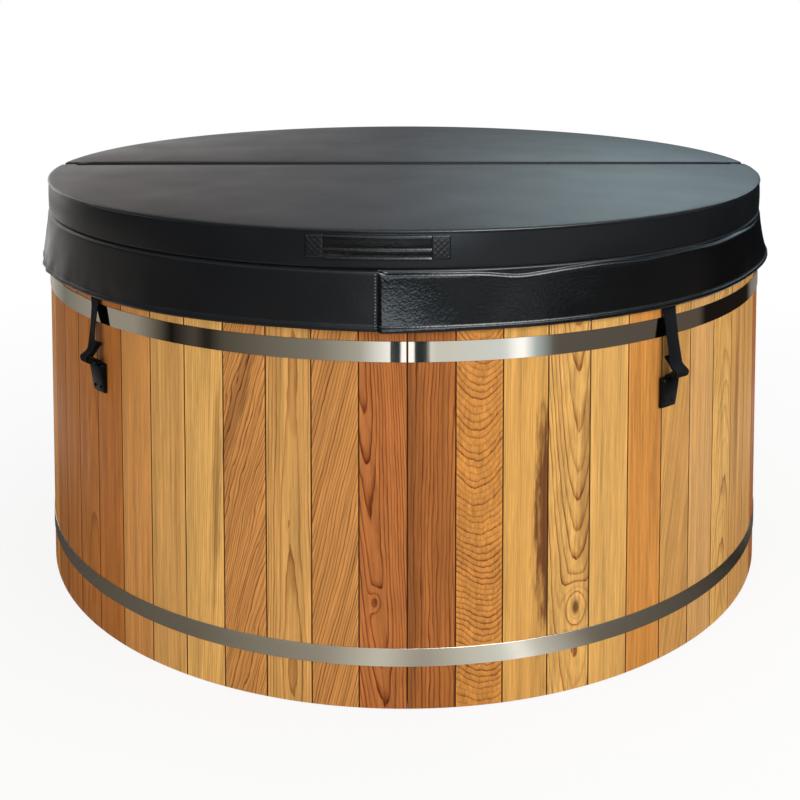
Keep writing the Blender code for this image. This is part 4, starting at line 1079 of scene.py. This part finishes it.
def side_point(along, drop, out):
    """Point off the front side band: way along the handle, drop from its top, height off the band."""
    z = HANDLE_TOP - HANDLE_HEIGHT * drop
    return polar(HANDLE_ANGLE + along / RIM_RADIUS, panel_side(z) + out, z)


bm = bmesh.new()
middle = HANDLE_LENGTH / 2 - HANDLE_TAB
outline = [side_point(-middle, drop, out) for drop, out in HANDLE_FACE]
outline += [side_point(-middle, drop, HANDLE_BACK) for drop in (1.0, 0.0)]
sweep(bm, outline, 2 * middle / RIM_RADIUS, HANDLE_STEPS)
bmesh.ops.recalc_face_normals(bm, faces=bm.faces)
ends = [e for e in bm.edges if e.is_manifold and e.calc_face_angle(0) > 1]
round_edges(bm, ends, HANDLE_EASE, 2)
grip = new_object("grab_handle", bm, sleek_vinyl, sharp=50)
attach(grip, "cover_front")
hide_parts("cover_handle")

stitches = bmesh.new()
for name, start in (("left_handle_patch", -HANDLE_LENGTH / 2), ("right_handle_patch", middle)):
    bm = bmesh.new()
    bmesh.ops.create_grid(bm, x_segments=28, y_segments=36, size=0.5)
    for vertex in bm.verts:
        across, drop = vertex.co.x + 0.5, 0.5 - vertex.co.y
        edge = min(across, 1 - across, drop, 1 - drop)
        waves = [math.sin(QUILT_TURN * (across + way * drop)) for way in (1.3, -1.3)]
        quilt = abs(waves[0] * waves[1])
        out = PATCH_THICKNESS * ramp(edge, -0.03, 0.05) ** 0.5
        out += PATCH_QUILT * quilt * ramp(edge, 0.05, 0.2)
        vertex.co = side_point(start + HANDLE_TAB * across, 0.02 + 0.94 * drop, out)
    bmesh.ops.recalc_face_normals(bm, faces=bm.faces)
    if bm.faces[:][0].normal.y > 0:
        bmesh.ops.reverse_faces(bm, faces=bm.faces)
    bmesh.ops.solidify(bm, geom=bm.faces[:], thickness=PATCH_SHEET)
    bmesh.ops.recalc_face_normals(bm, faces=bm.faces)
    patch = new_object(name, bm, black_vinyl)
    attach(patch, "cover_front")
    near, far = PATCH_MARGIN, HANDLE_TAB - PATCH_MARGIN
    frame_line = ((near, 0.08), (far, 0.08), (far, 0.90), (near, 0.90), (near, 0.08), (far, 0.90))
    add_stitches(stitches, [side_point(start + along, drop, PATCH_THICKNESS) for along, drop in frame_line])
row = new_object("handle_stitches", stitches, black_thread)
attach(row, "cover_front")

# Straps: black polypropylene webbing, 38 by 2.2 mm, sewn inside the skirt, hanging a
# little twisted past the hem and looped on the arm of its clip.
STRAP_ANGLES = {"left": math.radians(-46.0), "right": math.radians(36.2)}
STRAP_WIDTH = 0.038
STRAP_THICKNESS = 0.0022
STRAP_INSIDE = 0.0056
STRAP_FALLS = (0.30, 0.45, 0.60, 0.75, 0.90)
STRAP_TWISTS = {"front_left": 12, "front_right": -6, "rear_left": 8, "rear_right": -10}
STRAP_GATHER = {"front_left": 0.62, "front_right": 0.95, "rear_left": 0.8, "rear_right": 0.9}
STRAP_SLANT = {"front_left": -0.012, "front_right": 0.0, "rear_left": 0.004, "rear_right": -0.003}
CLIP_WIDTH = 0.025
BARREL_RADIUS = 0.0066
CLIP_THICKNESS = 0.0056
BASE_TOP = 0.648
BASE_HEIGHT = 0.065
BASE_WIDTH = 0.046
TOUCH_GAP = 0.0003
TONGUE_LENGTH = 0.030
TONGUE_OFF_WALL = 0.0063
TONGUE_FOOT = BASE_TOP - TONGUE_LENGTH
TONGUE_RADIUS = wall_radius(TONGUE_FOOT) + TONGUE_OFF_WALL
NECK = Vector((TONGUE_RADIUS, BASE_TOP + CLIP_THICKNESS))
ELBOW_OUT = 0.0235
ELBOW_RISE = 0.016
ELBOW = Vector((TONGUE_RADIUS + ELBOW_OUT, BASE_TOP + ELBOW_RISE))
ARM_TOP = 0.692
ARM_OFF_WALL = 0.0089
ARM_END = Vector((wall_radius(ARM_TOP) + ARM_OFF_WALL, ARM_TOP))
ARM_LIFT = CLIP_THICKNESS / 2 + STRAP_THICKNESS / 2 + TOUCH_GAP
STRAP_WRAP = [math.radians(a) for a in (8, 50, 95, 140, 185)]
CURVE_STEPS = 8
WEAVE_STEP = 0.004
TWILL_PITCH = 2.4

webbing, tree = new_material("black_webbing")
weave = add_node(tree, "Attribute", attribute_name="weave")
axes = add_node(tree, "SeparateXYZ", {0: weave.outputs["Vector"]})
slant = add_node(tree, "Math", {0: axes.outputs["X"]}, operation="ABSOLUTE")
both = add_node(tree, "Math", {0: slant, 1: axes.outputs["Y"]}, operation="ADD")
wave = add_node(tree, "Math", {0: both, 1: TURN * 1000 / TWILL_PITCH}, operation="MULTIPLY")
twill = add_node(tree, "Math", {0: wave}, operation="SINE")
bump = add_node(tree, "Bump", {"Strength": 0.6, "Distance": 0.0004, "Height": twill})
# Painted shade: the colour follows the bump's twill, down to 0.4 of the black in the weave's grooves.
tint = add_node(tree, "MapRange", {"Value": twill, "From Min": -1.0, "To Min": 0.4, "To Max": 1.0})
shade = add_node(tree, "VectorMath", {0: linear("#0d0e11")[:3], "Scale": tint}, operation="SCALE")
shader = add_node(tree, "BsdfPrincipled", {
    "Base Color": shade, "Roughness": 0.7, "Specular IOR Level": 0.12, "Normal": bump})
add_node(tree, "OutputMaterial", {"Surface": shader})


def smooth_line(points, steps):
    """Points of a soft curve through the given ones."""
    padded = [points[0] * 2 - points[1], *points, points[-1] * 2 - points[-2]]
    line = []
    for a, b, c, d in zip(padded, padded[1:], padded[2:], padded[3:]):
        for i in range(steps):
            t = i / steps
            line.append(0.5 * (2 * b + (c - a) * t + (2 * a - 5 * b + 4 * c - d) * t ** 2
                               + (3 * b - a - 3 * c + d) * t ** 3))
    return line + [points[-1]]


def strap_line():
    """Middle line of a strap in (radius, height): inside the skirt, past the hem, on to the clip's arm."""
    points = [Vector((skirt_radius(f) - STRAP_INSIDE, PANEL_BOTTOM - SKIRT_HANG * f))
              for f in STRAP_FALLS]
    arm = ELBOW - ARM_END
    lift = Vector((-arm.y, arm.x)).normalized() * ARM_LIFT
    top = ARM_END + lift
    points += [Vector((SKIRT_HEM_RADIUS - 0.0048, SKIRT_FOOT - 0.006)),
               (top + arm * 0.30).lerp(points[-1], 0.55),
               top + arm * 0.34 + Vector((0.0002, 0.011)), top + arm * 0.55]
    reach = BARREL_RADIUS + STRAP_THICKNESS / 2 + TOUCH_GAP
    start = math.atan2(lift.y, lift.x)
    points += [ELBOW + reach * Vector((math.cos(start - a), math.sin(start - a))) for a in STRAP_WRAP]
    return smooth_line(points, CURVE_STEPS)


def strap(name, turn, twist, gather, slant):
    """Flat webbing along its line: twist in degrees, width gathered at its clip, top set to one side."""
    line = strap_line()
    bm = bmesh.new()
    bmesh.ops.create_grid(bm, x_segments=6, y_segments=len(line) - 1, size=0.5)
    weave = bm.verts.layers.float_vector.new("weave")
    for vertex in bm.verts:
        across, place = vertex.co.x, round((vertex.co.y + 0.5) * (len(line) - 1))
        height = line[place].y
        ahead = (line[min(place + 1, len(line) - 1)] - line[max(place - 1, 0)]).normalized()
        hung = ramp(height, SKIRT_FOOT, SKIRT_FOOT - 0.03)
        hung *= ramp(height, ARM_END.y - 0.004, ARM_END.y + 0.03)
        angle = math.radians(twist) * hung
        across *= 1 + (gather - 1) * ramp(height, SKIRT_FOOT, ARM_END.y)
        out = Vector((-ahead.y, ahead.x)) * math.sin(angle) * across * STRAP_WIDTH
        spot = line[place] + out
        vertex[weave] = (across * STRAP_WIDTH, place * WEAVE_STEP, 0)
        aside = slant * ramp(height, ARM_END.y, SKIRT_FOOT)
        vertex.co = (across * STRAP_WIDTH * math.cos(angle) + aside, -spot.x, spot.y)
    bmesh.ops.recalc_face_normals(bm, faces=bm.faces)
    bmesh.ops.solidify(bm, geom=bm.faces[:], thickness=STRAP_THICKNESS)
    bmesh.ops.recalc_face_normals(bm, faces=bm.faces)
    bmesh.ops.rotate(bm, verts=bm.verts, cent=(0, 0, 0), matrix=Matrix.Rotation(turn, 3, "Z"))
    return new_object(name, bm, webbing, sharp=60)


# Clips and sockets: moulded black acetal. The clip's tongue slides down into the
# socket, its elbow has a round barrel, and the strap lies on its arm. The socket is
# a rounded block held on the stave by two pan head screws.
BAR_RADIUS = 0.0034
CLIP_EASE = 0.0012
SLOT_CLEARANCE = 0.0005
SLOT_TOP = BASE_TOP + 0.01
SOCKET_WALL = 0.0057
SOCKET_FACE = TONGUE_RADIUS + CLIP_THICKNESS / 2 + SLOT_CLEARANCE + SOCKET_WALL
SOCKET_TAPER = 0.004
SOCKET_ROUND = 0.006
SOCKET_EASE = 0.004
SCREW_RADIUS = 0.0042
SCREW_PLACES = (-0.012, 0.012)
SCREW_HEIGHT = BASE_TOP - BASE_HEIGHT + 0.014
SCREW_SINK = 0.0026
SCREW_SLOT = 0.0009

acetal, tree = new_material("black_acetal")
place = add_node(tree, "TexCoord").outputs["Object"]
texture = add_node(tree, "TexNoise", {"Vector": place, "Scale": 1000 / 1.5, "Detail": 2.0})
bump = add_node(tree, "Bump", {"Strength": 0.15, "Distance": 0.0002, "Height": texture})
rough = add_node(tree, "Math", {0: texture, 1: 0.12, 2: 0.34}, operation="MULTIPLY_ADD")
shader = add_node(tree, "BsdfPrincipled", {"Base Color": linear("#08080a"), "Roughness": rough,
                                           "Specular IOR Level": 0.10, "Normal": bump})
add_node(tree, "OutputMaterial", {"Surface": shader})

screw_steel, tree = new_material("screw_steel")
place = add_node(tree, "TexCoord").outputs["Object"]
wear_and_edge_highlight = add_node(tree, "TexNoise", {"Vector": place, "Scale": 1000 / 3, "Detail": 3.0})
rough = add_node(tree, "Math", {0: wear_and_edge_highlight, 1: 0.3, 2: 0.2}, operation="MULTIPLY_ADD")
shader = add_node(tree, "BsdfPrincipled", {
    "Base Color": linear("#2c2c2e"), "Metallic": 1.0, "Roughness": rough})
add_node(tree, "OutputMaterial", {"Surface": shader})


def thicken(bm, face, way, rounding, steps):
    """Make a face solid along a vector, with the rims of both ends rounded."""
    grown = bmesh.ops.extrude_face_region(bm, geom=[face])["geom"]
    verts = [g for g in grown if isinstance(g, bmesh.types.BMVert)]
    bmesh.ops.translate(bm, verts=verts, vec=way)
    caps = [face] + [g for g in grown if isinstance(g, bmesh.types.BMFace)]
    round_edges(bm, {e for cap in caps for e in cap.edges}, rounding, steps)


def add_bar(bm, place, radius, length, corners, rounding, steps):
    """Bar along the Z axis of a placing matrix, with its ends eased."""
    made = bmesh.ops.create_cone(bm, cap_ends=True, segments=corners, radius1=radius, radius2=radius,
                                 depth=length, matrix=place)
    caps = {f for v in made["verts"] for f in v.link_faces if len(f.verts) == corners}
    round_edges(bm, {e for cap in caps for e in cap.edges}, rounding, steps)


def add_slab(bm, outline, width, rounding, steps):
    """Side outline of (radius, height) points made solid across its width, with its rims rounded."""
    face = bm.faces.new([bm.verts.new((-width / 2, -p[0], p[1])) for p in outline])
    thicken(bm, face, (width, 0, 0), rounding, steps)


def strip_outline(points, thickness):
    """Outline of a strip of even thickness along a bent line."""
    sides = [], []
    for i, point in enumerate(points):
        ahead = (points[min(i + 1, len(points) - 1)] - points[max(i - 1, 0)]).normalized()
        out = Vector((-ahead.y, ahead.x)) * thickness / 2
        sides[0].append(point + out)
        sides[1].append(point - out)
    return sides[0] + sides[1][::-1]


def clip(name, turn):
    """Tongue, neck and arm as one bent strip, with a barrel at the elbow and a bar at the arm's end."""
    bm = bmesh.new()
    foot = Vector((TONGUE_RADIUS, TONGUE_FOOT))
    bend = [NECK + (foot - NECK) * 0.12, NECK + (ELBOW - NECK) * 0.06, NECK + (ELBOW - NECK) * 0.16]
    for strip in ([foot, *bend, ELBOW], [ELBOW, ELBOW.lerp(ARM_END, 0.5), ARM_END]):
        add_slab(bm, strip_outline(strip, CLIP_THICKNESS), CLIP_WIDTH, CLIP_EASE, 2)
    for spot, radius, length, rounding in ((ELBOW, BARREL_RADIUS, STRAP_WIDTH + 0.003, 0.0016),
                                           (ARM_END, BAR_RADIUS, CLIP_WIDTH + 0.001, CLIP_EASE)):
        place = Matrix.Translation((0, -spot.x, spot.y)) @ Matrix.Rotation(math.pi / 2, 4, "Y")
        add_bar(bm, place, radius, length, 32, rounding, 3)
    bmesh.ops.recalc_face_normals(bm, faces=bm.faces)
    bmesh.ops.rotate(bm, verts=bm.verts, cent=(0, 0, 0), matrix=Matrix.Rotation(turn, 3, "Z"))
    return new_object(name, bm, acetal, sharp=40)


def socket(name, turn):
    """Rounded block on the stave with the slot that takes the tongue."""
    low = BASE_TOP - BASE_HEIGHT
    bends = [math.radians(a) for a in (0, 30, 60, 90)]
    inset = SOCKET_FACE - SOCKET_TAPER - SOCKET_ROUND
    foot = [(inset + SOCKET_ROUND * math.sin(a), low + SOCKET_ROUND * (1 - math.cos(a))) for a in bends]
    head = [(SOCKET_FACE - SOCKET_ROUND * (1 - math.cos(a)), BASE_TOP - SOCKET_ROUND * (1 - math.sin(a)))
            for a in bends]
    outline = [(wall_radius(low) + TOUCH_GAP, low), *foot, *head,
               (wall_radius(BASE_TOP) + TOUCH_GAP, BASE_TOP)]
    bm = bmesh.new()
    add_slab(bm, outline, BASE_WIDTH, SOCKET_EASE, 3)
    bmesh.ops.recalc_face_normals(bm, faces=bm.faces)
    bmesh.ops.rotate(bm, verts=bm.verts, cent=(0, 0, 0), matrix=Matrix.Rotation(turn, 3, "Z"))
    block = new_object(name, bm, acetal)
    centre = Matrix.Translation((0, -TONGUE_RADIUS, (TONGUE_FOOT + SLOT_TOP) / 2))
    room = Matrix.Diagonal((CLIP_WIDTH + 2 * SLOT_CLEARANCE, CLIP_THICKNESS + 2 * SLOT_CLEARANCE,
                            SLOT_TOP - TONGUE_FOOT + 2 * SLOT_CLEARANCE, 1))
    slot = bmesh.new()
    bmesh.ops.create_cube(slot, size=1.0, matrix=Matrix.Rotation(turn, 4, "Z") @ centre @ room)
    cut_away(block, slot)
    block.data.set_sharp_from_angle(angle=math.radians(35))
    return block


def socket_screws(name, turn):
    """Two pan heads with a slot across, low on the block."""
    bm = bmesh.new()
    for across in SCREW_PLACES:
        head = bmesh.ops.create_uvsphere(bm, u_segments=24, v_segments=12, radius=SCREW_RADIUS)["verts"]
        bmesh.ops.scale(bm, verts=head, vec=(1, 0.5, 1))
        for vertex in head:
            if abs(vertex.co.z) < SCREW_SLOT and vertex.co.y < -0.0008:
                vertex.co.y += SCREW_SLOT
        bmesh.ops.translate(bm, verts=head, vec=(across, SCREW_SINK - SOCKET_FACE, SCREW_HEIGHT))
    bmesh.ops.rotate(bm, verts=bm.verts, cent=(0, 0, 0), matrix=Matrix.Rotation(turn, 3, "Z"))
    return new_object(name, bm, screw_steel, sharp=40)


for half in ("front", "rear"):
    for hand, strap_angle in STRAP_ANGLES.items():
        around = strap_angle if half == "front" else math.pi - strap_angle
        label = f"{half}_{hand}"
        body = f"clip_{label}"
        band = strap(f"webbing_{label}", around, STRAP_TWISTS[label], STRAP_GATHER[label],
                     STRAP_SLANT[label])
        line = strap_line()
        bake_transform(band)
        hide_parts(f"strap_{label}")
        lever = clip(f"hook_{label}", around)
        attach(lever, body)
        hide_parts(f"clip_{label}")
        block = socket(f"socket_{label}", around)
        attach(block, "tub")
        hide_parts(f"clip_base_{label}")
        heads = socket_screws(f"socket_screws_{label}", around)
        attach(heads, "tub")

# Stove fittings: two turned brass unions through the rear stave for the pipes of an
# outside stove. Each has a flange outside, a ribbed hose tail, and a hexagon nut on
# its thread inside.
THREAD_PITCH = 0.0023
ROUND_STEPS = 72
PORT_BORE = 0.025
PORT_THREAD = 0.0293
PORT_FLANGE = ((TOUCH_GAP, 0.0485), (0.0018, 0.050), (0.0085, 0.050), (0.0103, 0.0480),
               (0.0103, 0.036), (0.0150, 0.0325))
PORT_TAIL = 0.0285
PORT_END = 0.060
RIB_START = 0.018
RIB_PITCH = 0.0105
RIB_SHAPE = ((0, 0), (0.0085, 0.0012))

brass, tree = new_material("turned_brass")
place = add_node(tree, "TexCoord").outputs["Object"]
wear_and_edge_highlight = add_node(tree, "TexNoise", {"Vector": place, "Scale": 1000 / 12, "Detail": 4.0})
tint = add_node(tree, "Mix", {0: wear_and_edge_highlight, 6: linear("#c69c56"), 7: linear("#a98046")}, data_type="RGBA")
rough = add_node(tree, "Math", {0: wear_and_edge_highlight, 1: 0.25, 2: 0.16}, operation="MULTIPLY_ADD")
shader = add_node(tree, "BsdfPrincipled", {
    "Base Color": tint.outputs[2], "Metallic": 1.0, "Roughness": rough})
add_node(tree, "OutputMaterial", {"Surface": shader})


def wall_depth(z):
    """Thickness of a stave along the wall frame, at the stave's middle."""
    return (wall_radius(z) - (wall_radius(z) - STAVE_THICKNESS) * CHORD) * math.cos(LEAN)


def turned(profile):
    """Closed outline of (along, radius) points turned about the X axis."""
    bm = bmesh.new()
    verts = [bm.verts.new((x, 0, r)) for x, r in profile]
    edges = [bm.edges.new((verts[i - 1], verts[i])) for i in range(len(verts))]
    bmesh.ops.spin(bm, geom=verts + edges, cent=(0, 0, 0), axis=(1, 0, 0), angle=TURN,
                   steps=ROUND_STEPS, use_merge=True)
    bmesh.ops.recalc_face_normals(bm, faces=bm.faces)
    return bm


def threads(start, end, radius, depth):
    """Zigzag outline of a thread between two places along the axis."""
    count = round((end - start) / THREAD_PITCH)
    step = (end - start) / count
    return [(start + step * (i + part), radius - (0 if part else depth))
            for i in range(count) for part in (0, 0.5)]


def fix_on_wall(bm, name, z, finish, node):
    """Place a fitting's bmesh on the rear stave as the piece of a node."""
    bmesh.ops.transform(bm, verts=bm.verts, matrix=wall_frame(PORT_ANGLE, z))
    piece = new_object(name, bm, finish, sharp=35)
    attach(piece, "tub")
    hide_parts(node)
    return piece


def hexagon_nut(tube, flats, thickness, back):
    """Nut with six flats and a chamfered rim, its face at a place along the axis."""
    rim = flats / math.cos(math.pi / 6)
    front = back - thickness
    bm = turned([(back, tube), (back, 0.93 * flats), (back - 0.0012, flats), (front + 0.0020, flats),
                 (front, 0.93 * flats), (front, tube)])
    for vertex in bm.verts:
        around = math.atan2(vertex.co.z, vertex.co.y)
        if math.hypot(vertex.co.y, vertex.co.z) > 0.95 * flats:
            grow = min(rim, flats / math.cos((around + math.pi / 6) % (math.pi / 3) - math.pi / 6)) / flats
            vertex.co.yz *= grow
    return bm


for level, z in PORT_LEVELS.items():
    inside = -wall_depth(z)
    inner_end = inside - 0.022
    ribs = [(RIB_START + RIB_PITCH * i + along, PORT_TAIL + out)
            for i in range(4) for along, out in RIB_SHAPE]
    profile = [(inner_end, PORT_BORE), (inner_end, 0.0280),
               *threads(inner_end + 0.001, inside - 0.002, PORT_THREAD, 0.0011),
               (TOUCH_GAP, PORT_THREAD), *PORT_FLANGE, *ribs, (PORT_END, PORT_TAIL), (PORT_END, PORT_BORE)]
    fix_on_wall(turned(profile), f"stove_union_{level}", z, brass, f"stove_port_{level}")
    nut = hexagon_nut(PORT_HOLE, 0.0400, 0.014, inside - TOUCH_GAP)
    fix_on_wall(nut, f"union_nut_{level}", z, brass, f"port_nut_{level}")

# Drain valve: quarter-turn ball valve in brass under the lower pipe, with a hexagon
# nut inside and a steel lever in a red vinyl sleeve.
DRAIN_TUBE = 0.019
DRAIN_FLANGE = ((TOUCH_GAP, 0.0300), (0.0012, 0.0310), (0.0053, 0.0310), (0.0063, 0.0300),
                (0.0063, DRAIN_TUBE))
DRAIN_BORE = 0.0125
BALL_START = 0.0283
BALL_END = BALL_START + 0.034
BALL_RADIUS = 0.026
STEM_SEAT = BALL_RADIUS + 0.010
STEM_EASE = 0.0006
STEM_HOLE = 0.0048
LEVER_LENGTH = 0.080
LEVER_THICKNESS = 0.005
LEVER_EASE = 0.0018
LEVER_LOW = STEM_SEAT + TOUCH_GAP
NUT_LOW = LEVER_LOW + LEVER_THICKNESS + 0.0004
HUB_RADIUS = 0.012
HUB_SPREAD = 0.848
TIP_RADIUS = 0.0085
inside = -wall_depth(DRAIN_Z)
inner_end = inside - 0.020
outer_end = BALL_END + 0.026
ball = [(BALL_START + (BALL_END - BALL_START) * (0.5 - 0.5 * math.cos(math.pi * i / 12)),
         DRAIN_TUBE + (BALL_RADIUS - DRAIN_TUBE) * math.sin(math.pi * i / 12) ** 0.6) for i in range(13)]
profile = [(inner_end, DRAIN_BORE), (inner_end, DRAIN_TUBE - 0.001),
           *threads(inner_end + 0.001, inside - 0.002, DRAIN_TUBE, 0.0010), (TOUCH_GAP, DRAIN_TUBE),
           *DRAIN_FLANGE, *ball, *threads(BALL_END + 0.006, BALL_END + 0.024, DRAIN_TUBE, 0.0010),
           (outer_end, DRAIN_TUBE - 0.001), (outer_end, DRAIN_BORE)]
bm = turned(profile)
pivot = (BALL_START + BALL_END) / 2
for low, high, radius, corners in ((DRAIN_TUBE, STEM_SEAT, 0.009, 32),
                                   (STEM_SEAT, STEM_SEAT + 0.0123, 0.0045, 32),
                                   (NUT_LOW, STEM_SEAT + 0.0103, 0.0075, 6)):
    place = Matrix.Translation((pivot, 0, (low + high) / 2))
    add_bar(bm, place, radius, high - low, corners, STEM_EASE, 2)
fix_on_wall(bm, "drain_ball_valve", DRAIN_Z, brass, "drain_valve")
nut = hexagon_nut(DRAIN_TUBE + TOUCH_GAP, 0.0280, 0.012, inside - TOUCH_GAP)
fix_on_wall(nut, "drain_hexagon_nut", DRAIN_Z, brass, "drain_nut")

lever_sleeve, tree = new_material("red_vinyl_sleeve")
place = add_node(tree, "TexCoord").outputs["Object"]
dimples = add_node(tree, "TexNoise", {"Vector": place, "Scale": 1000 / 4, "Detail": 2.0})
bump = add_node(tree, "Bump", {"Strength": 0.2, "Distance": 0.0003, "Height": dimples})
shader = add_node(tree, "BsdfPrincipled", {
    "Base Color": linear("#9c2b24"), "Roughness": 0.4, "Normal": bump})
add_node(tree, "OutputMaterial", {"Surface": shader})

bm = bmesh.new()
bends = [math.pi * i / 12 for i in range(13)]
hub_turns = [math.pi + HUB_SPREAD * (a - math.pi / 2) for a in bends]
hub = [(HUB_RADIUS * math.cos(a), HUB_RADIUS * math.sin(a)) for a in hub_turns]
tip = [(LEVER_LENGTH - TIP_RADIUS + TIP_RADIUS * math.sin(a), -TIP_RADIUS * math.cos(a)) for a in bends]
plate = bm.faces.new([bm.verts.new((pivot + y, x, LEVER_LOW)) for x, y in hub[::-1] + tip[::-1]])
thicken(bm, plate, (0, 0, LEVER_THICKNESS), LEVER_EASE, 3)
bmesh.ops.recalc_face_normals(bm, faces=bm.faces)
bmesh.ops.transform(bm, verts=bm.verts, matrix=wall_frame(PORT_ANGLE, DRAIN_Z))
handle = new_object("drain_handle", bm, lever_sleeve, sharp=40)
hole = bmesh.new()
bmesh.ops.create_cone(hole, cap_ends=True, segments=32, radius1=STEM_HOLE, radius2=STEM_HOLE, depth=0.03,
                      matrix=wall_frame(PORT_ANGLE, DRAIN_Z) @ Matrix.Translation((pivot, 0, LEVER_LOW)))
cut_away(handle, hole)
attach(handle, "drain_lever")
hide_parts("drain_lever")
